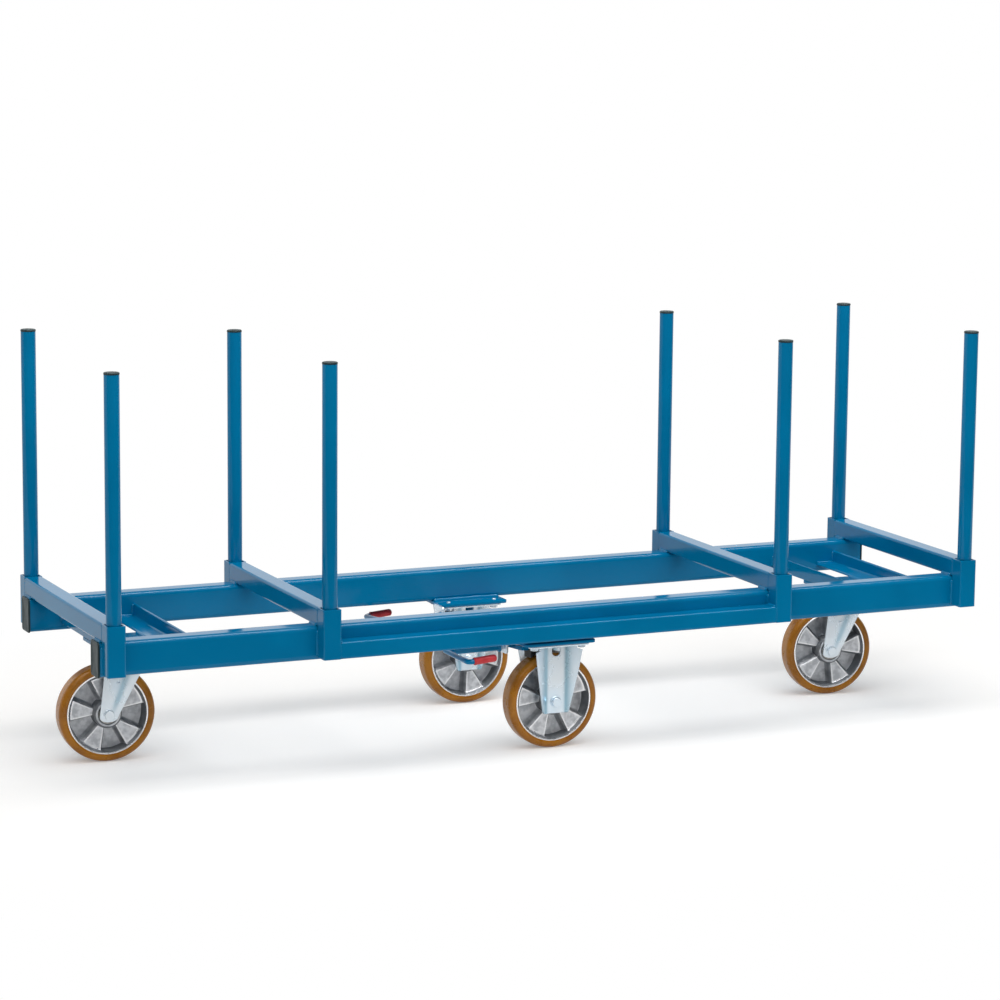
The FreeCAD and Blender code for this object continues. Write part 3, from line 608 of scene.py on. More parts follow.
for side in sides:
    for number in (1, 2, 3, 4):
        node, cap_node, body = (f"{side}_{kind}_{number}" for kind in ("stake", "stake_cap", "post"))
        low, high, middle, half = span(node)
        cap_low, cap_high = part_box(cap_node)
        place = (middle.x, middle.y, 0)
        inner = half.x - stake_wall
        wall = eased([(inner, low.z), (half.x, low.z), (half.x, high.z), (inner, high.z)], sawn_edge, 3)
        plug = stake_plug((cap_high.x - cap_low.x) / 2, cap_low.z, high.z, cap_high.z)
        tube = lay(turned(wall), "z", place)
        piece(f"{side}_stake_tube_{number}", [tube], blue_paint, body, [node], loop=True)
        plug = lay(turned(plug), "z", place)
        piece(f"{side}_stake_plug_{number}", [plug], grey_plastic, body, [cap_node])


# Caster bolts: sixteen M12 hexagon bolts in bright zinc, screwed up through the caster plates into the
# mounting plates. The inner ones of the fixed casters stand a little proud on top.
bolt_flats = 0.019
bolt_radius = 0.006
bolt_head = 0.008
bolt_proud = 0.004
bolt_long = 0.140
bolt_wide = 0.105
caster_plate = 0.006
thread_pitch = 0.00175
thread_columns = 32
thread_bite = 0.001
# The deepest zinc tone is painted shade and painted dark reflection, laid on the forks where the "bend" mark
# is set.
painted_zinc_shade = (0.17, 0.36, 0.46, 1)
zinc_cool = (0.68, 0.79, 0.88, 1)
zinc_warm = (0.82, 0.89, 0.94, 1)


def zinc_plating():
    """Bright zinc on rolled steel: cloudy patches with a faint blue and straw tint and a fine rolled grain.
    Where a piece marks "bend" the colour turns to a deeper blue: painted shade beside the leg bends, painted
    dark reflection down the legs."""
    finish, place = new_finish("bright_zinc")
    cloud = place.noise(16.0, 3.0).step(0.3, 0.7)
    grain = place.stretch((1.0, 1.0, 0.12)).noise(900.0, 3.0)
    place.surface({
        # Base colour: deeper blue where the "bend" mark is set, which is painted shade and painted
        # reflection.
        "Base Color": place.mark("bend").mix(cloud.mix(zinc_cool, zinc_warm), painted_zinc_shade),
        "Metallic": 0.58,
        "Roughness": 0.18 + 0.10 * cloud + 0.06 * grain,
        "Normal": (grain + 0.6 * place.noise(120.0)).bump(0.10, 0.0002),
    })
    return finish


def hexagon(flats, low, high, turn=0.0):
    """A hexagonal prism, radius = half flats / cos(angle from the nearest flat), cut at both ends by a
    cone of 30 degrees, so that each end face is a circle."""
    angle = full_turn(72)
    from_flat = (angle + np.pi / 6) % (np.pi / 3) - np.pi / 6
    flank = flats / 2 / np.cos(from_flat)
    drop = flats * np.array([0, 0, 0.015, 0.03, 0.045, 0.06, 0.09])
    cone = 0.475 * flats + drop / math.tan(math.radians(30))
    radius = np.minimum(flank, there_and_back(cone)[:, None])
    radius[[0, -1]] = 0
    height = np.concatenate([low + drop, high - drop[::-1]])
    return stack(radius[:, :, None] * on_circle(angle + turn), height)


def threaded_end(radius, low, high):
    """A bolt's end: radius + depth sin(2 pi height / pitch - angle), a helix, tapered at the tip."""
    rows = int((high - low) / thread_pitch * 8)
    height = np.linspace(low, high, rows)
    angle = full_turn(thread_columns)
    depth = 0.3 * thread_pitch
    ridge = radius - depth + depth * np.sin(2 * np.pi * height[:, None] / thread_pitch - angle)
    taper = np.minimum((height - low) / (2 * thread_pitch), 1)[:, None]
    ridge = ridge * (0.82 + 0.18 * taper)
    body = stack(ridge[:, :, None] * on_circle(angle), height)
    caps = stack(np.zeros((2, thread_columns, 2)), [low, high])
    return np.concatenate([caps[:1], body, caps[1:]])


zinc_plate = (zinc_plating(), "zinc_plate")
swivel_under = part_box("swivel_plates")[1].z - caster_plate
fixed_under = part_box("near_fixed_fork")[1].z - caster_plate
mount_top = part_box("fixed_mount_plates")[1].z
thread = threaded_end(bolt_radius, -mount_top - bolt_proud, thread_bite - mount_top) * [1, 1, -1]
bolts = []
for number, (way_x, way_y) in enumerate([(-1, -1), (-1, 1), (1, -1), (1, 1)]):
    turn = 0.7 * number
    corner = np.array([way_x * bolt_long / 2, way_y * bolt_wide / 2, 0])
    head = hexagon(bolt_flats, swivel_under - bolt_head, swivel_under, turn)
    bolts += [head + corner + at for at in swivel_places]
    for side, at in zip((-1, 1), fixed_places):
        bolts.append(hexagon(bolt_flats, fixed_under - bolt_head, fixed_under, turn + side) + corner + at)
        if way_y * side < 0:
            bolts.append(thread + corner + at)
piece("caster_bolts", bolts, zinc_plate, "frame", ["mounting_bolts"], sharp=25.0)


# Fixed casters: a drilled top plate with two legs of 5 mm sheet, welded on and zinc plated as one.
# Both sides of a leg are folded outwards to stiffen it, and it has a window below the plate.
leg_inner = 0.036
leg_thick = 0.005
leg_outer = leg_inner + leg_thick
plate_corner = 0.010
panel_half = 0.029
leg_flare = 0.65
fold_radius = 0.005
leg_widths = [0.038, 0.058, 0.0665, 0.054, 0.054]
leg_heights = [0.107, 0.215, 0.273, 0.277, 0.286]
shank_low = 0.116
shank_high = 0.244
toe_half = 0.032
window_half = 0.0125
window_low = 0.255
window_high = 0.2815
spring_row = 0.005
flat_start = 0.016
flat_end = 0.024
plate_weld = 0.005
# Painted shade beside the bends of the fixed legs: its strength and how far it reaches on the panel and on
# the flare.
leg_bend_shade = 0.8
bend_shade_inside = 0.005
bend_shade_outside = 0.012


def fixed_leg(foot, top):
    """Outer face of one leg as a sheet: rows climb from the foot to the plate, columns cross it. Its half
    width follows the outline, with a quarter ellipse at the foot; past the panel's edge, at distance d, it
    stands out by flare (d + sqrt(dd + rr)) / 2. The row at the window's foot bends into a half circle and the
    window's own points are left out. Also gives how much painted shade each point gets beside the bends."""
    quarter = np.radians([0, 22, 45, 68, 90])
    toe = foot + (leg_heights[0] - foot) * (1 - np.cos(quarter))
    shank = np.linspace(shank_low, shank_high, 17)
    spring = window_low + window_half
    rows = np.concatenate([toe, shank, [spring, spring + spring_row, *leg_heights[2:4], window_high, top]])
    sill = len(toe) + len(shank)
    half = np.interp(rows, leg_heights, leg_widths)
    half[:len(toe)] = toe_half + (leg_widths[0] - toe_half) * np.sin(quarter)
    hole = window_half * np.sin(np.radians(np.linspace(0, 90, 6)))
    inside = np.concatenate([hole, np.linspace(flat_start, flat_end, 4)])
    spread = np.concatenate([np.linspace(0, 0.5, 9)[1:], np.linspace(0.5, 1, 5)[1:]])
    side = inside[-1] + (half[:, None] - inside[-1]) * spread
    right = np.concatenate([np.broadcast_to(inside, (len(rows), len(inside))), side], axis=1)
    x = np.concatenate([-right[:, :0:-1], right], axis=1)
    past = np.abs(x) - panel_half
    y = -(leg_outer + leg_flare * (past + np.sqrt(past ** 2 + fold_radius ** 2)) / 2)
    z = np.broadcast_to(rows[:, None], x.shape).copy()
    z[sill] -= np.sqrt(np.maximum(window_half ** 2 - x[sill] ** 2, 0))
    sheet = np.stack([x, y, z], axis=2)
    middle = x.shape[1] // 2
    gap = len(hole) - 1
    sheet[sill + 1:-2, middle - gap + 1:middle + gap] = np.nan
    # Second value: painted shade, strongest at the bend line and fading out on both sides.
    return sheet, leg_bend_shade * np.exp(-(past / np.where(past > 0, bend_shade_outside, bend_shade_inside)) ** 2)


def sheet_metal(made, thickness, edge=0.0007):
    """Give a sheet its thickness, inwards from its outer face, and soften its cut edges."""
    solid = made.modifiers.new("thickness", "SOLIDIFY")
    solid.thickness = thickness
    solid.offset = -1
    solid.use_even_offset = True
    bevel = made.modifiers.new("edge", "BEVEL")
    bevel.width = edge
    bevel.segments = 2
    bevel.angle_limit = math.radians(50)
    bevel.harden_normals = True


for side, at in zip(sides, fixed_places):
    node = f"{side}_fixed_fork"
    low, high, middle, half = span(node)
    shapes = [slab(high.x, half.y, plate_corner, fixed_under, high.z) + at]
    for way in (-1, 1):
        foot_y = at[1] + way * leg_outer
        shapes.append(bead((-panel_half, foot_y, fixed_under), (panel_half, foot_y, fixed_under),
                           (0, way * plate_weld, 0), (0, 0, -plate_weld)))
    piece(f"{side}_fork_plate", shapes, zinc_plate, "frame")
    # bend holds the painted shade of each leg point, which the finish reads as the "bend" mark.
    leg, bend = fixed_leg(low.z, fixed_under)
    legs = [leg + at, leg[:, ::-1] * [1, -1, 1] + at]
    made = piece(f"{side}_fork_legs", legs, zinc_plate, "frame", [node], ring=False,
                 marks={"bend": np.stack([bend, bend])})
    sheet_metal(made, leg_thick)


# Swivel casters: a drilled top plate with the upper ball race pressed into it stays with the frame;
# the pressed fork below turns on a kingpin. Its legs lean back so that the wheel trails.
trail = 0.070
swivel_yaw = {"left": math.radians(-4), "right": math.radians(-6)}
race_radius = 0.055
race_edge = 0.002
ball_track = np.array([(0.044, 0), (0.046, 0.002), (0.050, 0.002), (0.052, 0)])
ball_gap = 0.0003
crown_radius = 0.057
crown_edge = 0.003
crown_low = 0.276
crown_seat = crown_low + leg_thick
crown_floor = crown_low + 0.0045
step_inner = 0.030
step_outer = 0.034
bridge_rear = -0.076
bridge_front = 0.040
bridge_row = 0.02
leg_bulge = 0.0016
# A painted dark reflection down each swivel leg: its strength, its place across the leg and its width.
swivel_reflection_shade = 0.7
reflection_middle = 0.25
reflection_spread = 0.22
foot_half = 0.0245
foot_shoulder = 0.123
foot_drop = 0.013
fork_bend = 0.009
rivet_x = -0.044
rivet_z = 0.214
rivet_proud = 0.0012
rivet_head = [(0, 0), (0.0045, 0), (0.0042, 0.0008), (0.003, 0.0016), (0, 0.002)]
kingpin_flats = 0.030
kingpin_radius = 0.010
kingpin_proud = 0.0027
kingpin_nut = 0.011
kingpin_edge = 0.001


def swivel_sheet():
    """One sheet folded over the crown: rows run up one leg, round a bend, over the bridge and down the
    other leg; columns cross from the rear edge to the front edge, which close in towards the foot.
    Below the shoulder the foot closes as half an ellipse, width cos(p) at depth sin(p). Also gives how
    much painted dark reflection each point gets, a band down the middle of each leg."""
    bend = np.radians(np.linspace(0, 90, 7))
    climb = np.linspace(foot_shoulder, crown_seat - fork_bend, 22)
    round_off = np.radians([84, 76, 66, 55, 44, 33, 22, 11])
    foot = foot_shoulder - foot_drop * np.sin(round_off)
    lift = np.concatenate([foot, climb[:-1], crown_seat - fork_bend + fork_bend * np.sin(bend)])
    straight = len(foot) + len(climb) - 1
    out = np.concatenate([np.full(straight, leg_outer), leg_outer - fork_bend * (1 - np.cos(bend))])
    close = np.concatenate([np.cos(round_off), np.ones(len(lift) - len(foot))])
    lift = np.concatenate([lift, [crown_seat] * 3, lift[::-1]])
    reach = np.concatenate([-out, [-bridge_row, 0, bridge_row], out[::-1]])
    half = foot_half * np.concatenate([close, [1, 1, 1], close[::-1]])
    share = np.clip((lift - foot_shoulder) / (crown_seat - foot_shoulder), 0, 1)
    rear = -trail - half + (bridge_rear + trail + half) * share
    front = -trail + half + (bridge_front + trail - half) * share
    across = np.sin(np.radians(np.linspace(-90, 90, 19)))
    x = rear[:, None] + (front - rear)[:, None] * (across + 1) / 2
    z = np.broadcast_to(lift[:, None], x.shape)
    bulge = leg_bulge * (1 - across ** 2) * np.sin(np.pi * share)[:, None]
    y = reach[:, None] + np.sign(reach)[:, None] * bulge
    # film here is a painted dark reflection: a band of deeper blue down the leg that fades out towards the
    # foot.
    film = swivel_reflection_shade * np.exp(-((across - reflection_middle) / reflection_spread) ** 2)
    return np.stack([x, y, z], axis=2), film * np.minimum(4 * share, 1)[:, None]


def turn_about(points, yaw, centre):
    """Turn points about the third axis and move them."""
    cos, sin = math.cos(yaw), math.sin(yaw)
    return points @ np.array([[cos, sin, 0], [-sin, cos, 0], [0, 0, 1]]) + np.asarray(centre)


low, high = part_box("swivel_plates")
race_low = low.z
plate = slab(high.x - caster_x, high.y, plate_corner, swivel_under, high.z)
race = turned([(kingpin_radius, swivel_under), (kingpin_radius, race_low), *(ball_track + [0, race_low]),
               (race_radius - race_edge, race_low), (race_radius, race_low + race_edge),
               (race_radius, swivel_under - race_edge), (race_radius - 2 * race_edge, swivel_under),
               (kingpin_radius, swivel_under)], 96)
shapes = [shape + at for at in swivel_places for shape in (plate, race)]
piece("swivel_top_plates", shapes, zinc_plate, "frame", ["swivel_plates"])

low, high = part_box("kingpins")
nut_low = low.z + kingpin_proud
tip = threaded_end(kingpin_radius, low.z, nut_low + thread_bite)
nut = hexagon(kingpin_flats, nut_low, nut_low + kingpin_nut)
shank = turned([(0, nut_low), (kingpin_radius, nut_low), (kingpin_radius, high.z - kingpin_edge),
                (kingpin_radius - kingpin_edge, high.z), (0, high.z)], 48)
pins = [pin + at for at in swivel_places for pin in (tip, nut, shank)]
piece("kingpin_bolts", pins, zinc_plate, "frame", ["kingpins"], sharp=25.0)

crown_top = race_low - ball_gap
crown_bore = kingpin_radius + clearance
crown = turned([(crown_bore, crown_floor), (step_inner, crown_floor), (step_outer, crown_seat),
                (crown_radius - crown_edge, crown_seat), (crown_radius, crown_seat + crown_edge),
                (crown_radius, crown_top - crown_edge / 2), (crown_radius - crown_edge / 2, crown_top),
                *([0, crown_top] + ball_track[::-1] * [1, -1]), (crown_bore, crown_top),
                (crown_bore, crown_floor)], 96)
rivet = lay(turned(rivet_head, 24), "y", (rivet_x, leg_outer + rivet_proud, rivet_z))
sheet, leg_shade_band = swivel_sheet()
for end, at in zip(ends, swivel_places):
    body = f"{end}_swivel"
    folded = turn_about(sheet, swivel_yaw[end], at)
    made = piece(f"{end}_fork_sheet", [folded], zinc_plate, body, [f"{end}_swivel_fork"], ring=False,
                 marks={"bend": leg_shade_band})
    sheet_metal(made, leg_thick)
    shapes = [turn_about(shape, swivel_yaw[end], at) for shape in (crown, rivet, rivet * [1, -1, 1])]
    piece(f"{end}_fork_crown", shapes, zinc_plate, body)


# Wheel axles: an M16 bolt through each fork with a sleeve between the legs, washers and a lock nut.
# The bearings run on the sleeve; head, washers and nut are zinc plated like the fork.
axle_flats = 0.024
axle_radius = 0.008
axle_washer = 0.015
washer_thick = 0.002
washer_edge = 0.0004
axle_head = 0.009
axle_nut = 0.013
nut_collar = 0.005
axle_proud = 0.003
sleeve_radius = 0.0125
wheel_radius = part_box("near_wheel_tread")[1].z / 2


def stand_up(points, centre, yaw=0.0):
    """Lay a shape's third axis across the cart, its second axis up, then turn it to its caster."""
    return turn_about(points[..., [0, 2, 1]] * [1, -1, 1], yaw, centre)


def washer(low, high):
    """A flat ring drawn solid, with softened edges; the bolt fills its hole."""
    flat = axle_washer - washer_edge
    return turned([(0, low), (flat, low), (axle_washer, low + washer_edge), (axle_washer, high - washer_edge),
                   (flat, high), (0, high)], 48)


def axle_shapes():
    """Sleeve, two washers, head, nut, its collar and the bolt's end about the third axis."""
    seat = leg_outer + washer_thick
    nut_low = -seat - axle_nut
    collar_top = nut_low + nut_collar
    collar = axle_flats * 0.45
    profile = [(0, nut_low), (axle_flats * 0.36, nut_low), (axle_flats * 0.42, nut_low + 0.0015),
               (collar, collar_top - 0.001), (collar, collar_top), (0, collar_top)]
    sleeve = [(0, -leg_inner), (sleeve_radius, -leg_inner), (sleeve_radius, leg_inner), (0, leg_inner)]
    return [turned(sleeve, 48), washer(leg_outer, seat), washer(-seat, -leg_outer),
            hexagon(axle_flats, seat, seat + axle_head, 0.35),
            hexagon(axle_flats, collar_top - 0.001, -seat, 0.2), turned(profile, 48),
            threaded_end(axle_radius, nut_low - axle_proud, nut_low + thread_bite)]


wheel_places = {}
for name in ends + sides:
    wheel_places[name] = (span(f"{name}_wheel_tread")[2], swivel_yaw.get(name, 0.0))
for end in ends:
    shapes = [stand_up(shape, *wheel_places[end]) for shape in axle_shapes()]
    piece(f"{end}_axle_bolt", shapes, zinc_plate, f"{end}_swivel", [f"{end}_swivel_axle"], sharp=25.0)
shapes = [stand_up(shape, *wheel_places[side]) for side in sides for shape in axle_shapes()]
piece("fixed_axle_bolts", shapes, zinc_plate, "frame", ["fixed_axles"], sharp=25.0)


# Wheel treads: amber polyurethane cast on to the rim, 60 mm wide, turned to size after casting.
# The sides taper in to the rim and the shoulders are rounded; it is cloudy and satin.
tread_half = 0.030
tread_shoulder = 0.1155
tread_flat = 0.015
tread_step = [(0, -0.0022), (0.0012, -0.0020), (0.0016, -0.0012)]
rim_radius = 0.110
amber = (0.42, 0.165, 0.010, 1)
amber_deep = (0.30, 0.110, 0.008, 1)


def cast_polyurethane():
    """Cast polyurethane: amber with cloudy deeper patches, satin, with faint scuffs."""
    finish, place = new_finish("amber_polyurethane")
    cloud = place.noise(18.0, 3.0).step(0.3, 0.7)
    scuff = place.noise(260.0, 4.0)
    place.surface({
        "Base Color": cloud.mix(amber, amber_deep),
        "Roughness": 0.20 + 0.12 * place.noise(45.0) + 0.05 * scuff,
        "Specular IOR Level": 0.3,
        "Normal": scuff.bump(0.2, 0.0003),
    })
    return finish


def tread_profile():
    """Half a tread's outline from the rim outwards: a tapered side with a shallow step, a quarter ellipse
    for the shoulder and the flat; then its mirror image back to the rim."""
    reach = np.array([wheel_radius - tread_shoulder, tread_half - tread_flat])
    shoulder = [tread_shoulder, tread_flat] + reach * on_circle(np.radians(np.linspace(0, 90, 12)))[:, ::-1]
    side = np.array([rim_radius, tread_half]) + tread_step
    half = np.concatenate([side, shoulder, [(wheel_radius, tread_flat * 0.5), (wheel_radius, 0)]])
    return np.concatenate([half, half[-2::-1] * [1, -1]])


polyurethane = (cast_polyurethane(), "polyurethane")
tread = turned(tread_profile(), 192)
for name, place in wheel_places.items():
    piece(f"{name}_tyre", [stand_up(tread, *place)], polyurethane, f"{name}_wheel",
          [f"{name}_wheel_tread"], loop=True)


# Wheel rims: die-cast aluminium, an outer ring and a hub joined by a web that is folded between the two
# faces in ten sectors. Left as cast apart from the ring's edge, which is turned bright.
first_pad = {"left": 28.0, "near": 26.0, "right": 6.0, "far": -2.5}
pads = 5
pad_face = 0.018
web_thick = 0.009
wall_half = 0.0045
hub_radius = 0.038
hub_half = 0.034
hub_fillet = 0.004
web_start = 0.046
web_end = 0.093
web_outer = 0.100
ring_fillet = 0.003
ring_lip = 0.1055
rim_half = 0.028
bearing_radius = 0.026
bearing_wide = 0.015
# Painted shade on the casting: on the low pads, in the sector walls and in the grooves.
low_pad_shade = 0.06
wall_shade = 0.42
groove_shade = 0.75
# Strength of the painted highlights along the raised pads' edges.
edge_highlight_level = 0.75
ring_count = 9000.0
# The darkest casting colour is painted shade for the hollows.
cast_shade = (0.10, 0.11, 0.12, 1)
cast_dark = (0.42, 0.435, 0.46, 1)
cast_light = (0.70, 0.715, 0.74, 1)
# Colour of the turned ring, also used for the painted highlights along the pad edges.
turned_and_highlight_colour = (0.94, 0.94, 0.95, 1)


def cast_aluminium():
    """As-cast aluminium: mottled flow marks and a grainy skin, darkened to a painted shade and rougher where
    the casting lies deep; the turned ring is light and shiny with fine rings, and painted highlights run
    along the pad edges."""
    finish, place = new_finish("die_cast_aluminium")
    turned_and_highlit = place.mark("turned_and_highlight")
    recess_shade = place.mark("recess_shade")
    flow = place.noise(55.0, 5.0).step(0.32, 0.66)
    skin = place.noise(650.0, 4.0)
    rings = place.math("SINE", place.mark("reach") * ring_count)
    place.surface({
        # Base colour: painted shade where the casting lies deep, painted highlights along the pad edges, and
        # the truly turned ring.
        "Base Color": turned_and_highlit.mix(recess_shade.mix(flow.mix(cast_dark, cast_light), cast_shade), turned_and_highlight_colour),
        "Metallic": 0.85,
        "Roughness": 0.36 + 0.12 * flow - 0.16 * turned_and_highlit + 0.40 * recess_shade,
        "Normal": (skin * (1 - turned_and_highlit) + 0.04 * rings * turned_and_highlit).bump(0.4, 0.0004),
    })
    return finish


def fillet(distance, radius):
    """Height of a round fillet at a distance from the wall it climbs: r - sqrt(rr - (r - d)(r - d))."""
    inside = np.clip(radius - distance, 0, radius)
    return radius - np.sqrt(radius ** 2 - inside ** 2)


def rim_surface(turn):
    """The whole casting as rings of points, from the front of the bore over the front face and round the
    edge to the back. Columns follow the sector walls: beside a wall they keep a fixed distance from it,
    angle = wall + distance / radius, and they share out the pad between. The web's height is the middle
    of its sheet, plus or minus 13.5 mm, with a straight change across each wall, plus half its thickness
    and fillets at the hub and the ring. Also gives the marks that the finish reads."""
    walls = np.radians(turn + 180 / pads * (np.arange(2 * pads) + 0.5))[:, None]
    gap = np.radians(180 / pads)
    beside = wall_half * np.array([-1.3, -1.05, -0.95, 0.0, 0.95, 1.05, 1.3])
    share = np.linspace(0, 1, 10)[1:-1]
    distance = np.concatenate([beside, beside[-1] + 0 * share])
    part = np.concatenate([0 * beside, share])
    sign = np.where(np.arange(2 * pads) % 2, -1, 1)[:, None]
    side = (sign * -np.clip(distance / wall_half, -1, 1)).ravel()

    bore = np.array([(0, -bearing_wide), (0, -0.003), (0.0016, -0.003), (0.0024, -0.0004), (0.0030, 0)])
    boss = np.array([(-0.0052, 0), (-0.0046, -0.0006), (-0.0040, -0.003), (-0.0008, -0.0036), (0, -0.005)])
    hub = np.concatenate([[bearing_radius, hub_half] + bore, [hub_radius, hub_half] + boss])
    lip = np.array([(ring_lip, rim_half - 0.0015), (ring_lip + 0.0004, rim_half - 0.0004),
                    (ring_lip + 0.0015, rim_half), (rim_radius - 0.0008, rim_half),
                    (rim_radius - 0.00005, rim_half - 0.0008)])
    ease = np.array([0, 0.1, 0.3, 0.6, 1])
    web = np.concatenate([hub_radius + hub_fillet * ease, np.linspace(web_start, web_end, 9),
                          web_outer - ring_fillet * ease[::-1]])
    climb = np.array([0.33, 0.66])
    ring_wall = web_outer + (ring_lip - web_outer) * climb
    radius = np.concatenate([hub[:, 0], web, ring_wall, lip[:, 0]])

    def face(way):
        """One face's heights: fixed rows at hub and lip, the folded web and the ring's wall between."""
        sheet = (pad_face - web_thick / 2) * side * way + web_thick / 2
        rise = fillet(web - hub_radius, hub_fillet) + fillet(web_outer - web, ring_fillet)
        middle = sheet + rise[:, None]
        wall = middle[-1] + (lip[0, 1] - middle[-1]) * climb[:, None]
        first, last = (np.tile(rows[:, 1:], len(side)) for rows in (hub, lip))
        return np.concatenate([first, middle, wall, last])

    rows = radius[:, None, None]
    angle = (walls + distance / rows + part * (gap - 2 * beside[-1] / rows)).reshape(len(radius), -1)
    flat = rows * on_circle(angle)
    front = np.concatenate([flat, face(1)[:, :, None]], axis=2)
    back = np.concatenate([flat, -face(-1)[:, :, None]], axis=2)

    turned_row = (radius > ring_lip + 0.0003) & (radius < rim_radius - 0.0003)
    groove_row = (radius > hub_radius - 0.0042) & (radius < hub_radius + 0.002)
    groove_row |= (radius < bearing_radius + 0.002)
    groove_row |= (radius > web_outer - 0.0005) & (radius < ring_lip + 0.0003)
    web_row = ((radius > hub_radius + 0.003) & (radius < web_outer + 0.001))[:, None]
    # Painted highlights: a line along each raised pad's side edges and along its outer arc.
    highlight_arc_row = (np.abs(radius - web_outer + 0.002) < 0.0013)[:, None]
    highlight_border = np.abs(np.abs(distance) - 1.17 * wall_half) < 0.14 * wall_half
    highlight_border = np.tile(highlight_border & (part == 0), 2 * pads)
    marks = {"turned_and_highlight": [], "recess_shade": [], "reach": []}
    for way in (1, -1):
        edge_highlight = edge_highlight_level * (web_row * highlight_border | highlight_arc_row) * (way * side > 0.99)
        # Painted shade: the web's low pads and walls, and the grooves, are darkened.
        shade_amount = web_row * (low_pad_shade * (1 - way * side) + wall_shade * (1 - np.abs(side)))
        marks["turned_and_highlight"].append(np.maximum(turned_row[:, None], edge_highlight)[::way])
        marks["recess_shade"].append(np.maximum(shade_amount, groove_shade * groove_row[:, None])[::way])
        marks["reach"].append(np.broadcast_to(radius[:, None], shade_amount.shape)[::way])
    marks = {mark: np.concatenate(faces) for mark, faces in marks.items()}
    return np.concatenate([front, back[::-1]]), marks


die_cast = (cast_aluminium(), "die_cast")
for name, place in wheel_places.items():
    casting, marks = rim_surface(first_pad[name])
    piece(f"{name}_casting", [stand_up(casting, *place)], die_cast, f"{name}_wheel",
          [f"{name}_wheel_rim"], loop=True, sharp=30.0, marks=marks)


# Wheel bearings: a sealed ball bearing pressed into each end of the hub, running on the axle sleeve.
# Ground steel rings with a pressed shield between them, set a little below the faces.
steel_light = (0.46, 0.45, 0.43, 1)
steel_dark = (0.24, 0.23, 0.21, 1)
inner_race = 0.0161
outer_race = 0.0226
shield_deep = 0.0012
shield_high = 0.0008
race_round = 0.0003
bore_edge = 0.0004
seat_edge = 0.0005
shield_inner = 0.0176
shield_outer = 0.0212
shield_step = 0.0004


def ground_steel():
    """Ground bearing steel under a film of oil: even, with a slow straw tint and a fine grain."""
    finish, place = new_finish("bearing_steel")
    film = place.noise(90.0, 3.0).step(0.3, 0.7)
    place.surface({
        "Base Color": film.mix(steel_light, steel_dark),
        "Metallic": 0.95,
        "Roughness": 0.24 + 0.12 * film,
        "Normal": place.noise(1500.0).bump(0.12, 0.0001),
    })
    return finish


bearing_steel = (ground_steel(), "bearing_steel")
bore = sleeve_radius + clearance
seat = bearing_radius - clearance
inner_ring = [(bore, -bearing_wide), (bore, -bore_edge), (bore + bore_edge, 0), (inner_race - race_round, 0),
              (inner_race, -race_round)]
shield = [(inner_race, -shield_deep), (shield_inner - shield_step, -shield_deep),
          (shield_inner, -shield_high), (shield_outer, -shield_high),
          (shield_outer + shield_step, -shield_deep), (outer_race, -shield_deep)]
outer_ring = [(outer_race, -race_round), (outer_race + race_round, 0), (seat - seat_edge, 0),
              (seat, -seat_edge), (seat, -bearing_wide)]
bearing = turned([*inner_ring, *shield, *outer_ring], 96) + [0, 0, hub_half]
for name, place in wheel_places.items():
    pair = [stand_up(shape, *place) for shape in (bearing, bearing * [1, 1, -1])]
    piece(f"{name}_bearing_pair", pair, bearing_steel, f"{name}_wheel",
          [f"{name}_wheel_bearings"], loop=True, sharp=25.0)


# Brake bearings: beside each fixed caster a zinc plated bracket on the mounting plate's end and a painted
# tube welded to it carry the brake shaft.
bracket_corner = 0.008
bracket_inner = 0.014
tube_bore = 0.0071
tube_edge = 0.001
tube_root = tube_bore + 0.002
tube_weld = [(0.004, -0.0002), (0.0035, -0.002), (0.0015, -0.004), (-0.001, -0.005)]
low, high, middle, half = span("brake_tubes")
tube_radius = half.z
shaft_y = high.y - tube_radius
shaft_z = middle.z
wall = [(tube_bore, low.x), (tube_radius, low.x), (tube_radius, high.x), (tube_bore, high.x)]
crown = np.array([tube_radius, 0]) + tube_weld
weld = [(tube_root, crown[0, 1]), *crown, (tube_root, crown[-1, 1])]
tube = lay(turned(eased(wall, tube_edge, 3)), "x")
weld = lay(turned(weld), "x", (high.x, 0, 0))
shapes = [shape + [0, way * shaft_y, shaft_z] for way in (-1, 1) for shape in (tube, weld)]
piece("brake_bearing_tubes", shapes, blue_paint, "frame", ["brake_tubes"], loop=True)
low, high, middle, half = span("brake_brackets")
inner = shaft_y - bracket_inner
plate = slab((high.y - inner) / 2, half.z, bracket_corner, low.x, high.x)
plates = [lay(plate, "x", (0, way * (high.y + inner) / 2, middle.z)) for way in (-1, 1)]
piece("brake_bracket_plates", plates, zinc_plate, "frame", ["brake_brackets"])


# Brake cranks: a round bar bent outwards from the shaft and again into the grip, and a flat arm welded to
# its other end that carries the shoe over the wheel; painted blue. A red plastic sleeve is the grip.
# Pressing it down turns the shaft and lowers the shoe; the far brake is shown pressed.
crank_radius = 0.007
crank_x = -0.272
crank_arm = 0.167
crank_bend = 0.014
shaft_end = -0.079
brake_turn = math.radians(5)
arm_left = -0.086
arm_right = -0.072
arm_tip = 0.034
arm_half = 0.007
arm_hub = 0.012
arm_low = 0.262
arm_high = 0.273
arm_corner = 0.004
grip_length = 0.066
grip_radius = 0.010
grip_rib = 0.0106
grip_rise = 0.006
grip_start = 0.001
nose_flat = 0.002
nose_long = 0.008
red_deep = (0.46, 0.034, 0.042, 1)
red_light = (0.60, 0.054, 0.062, 1)


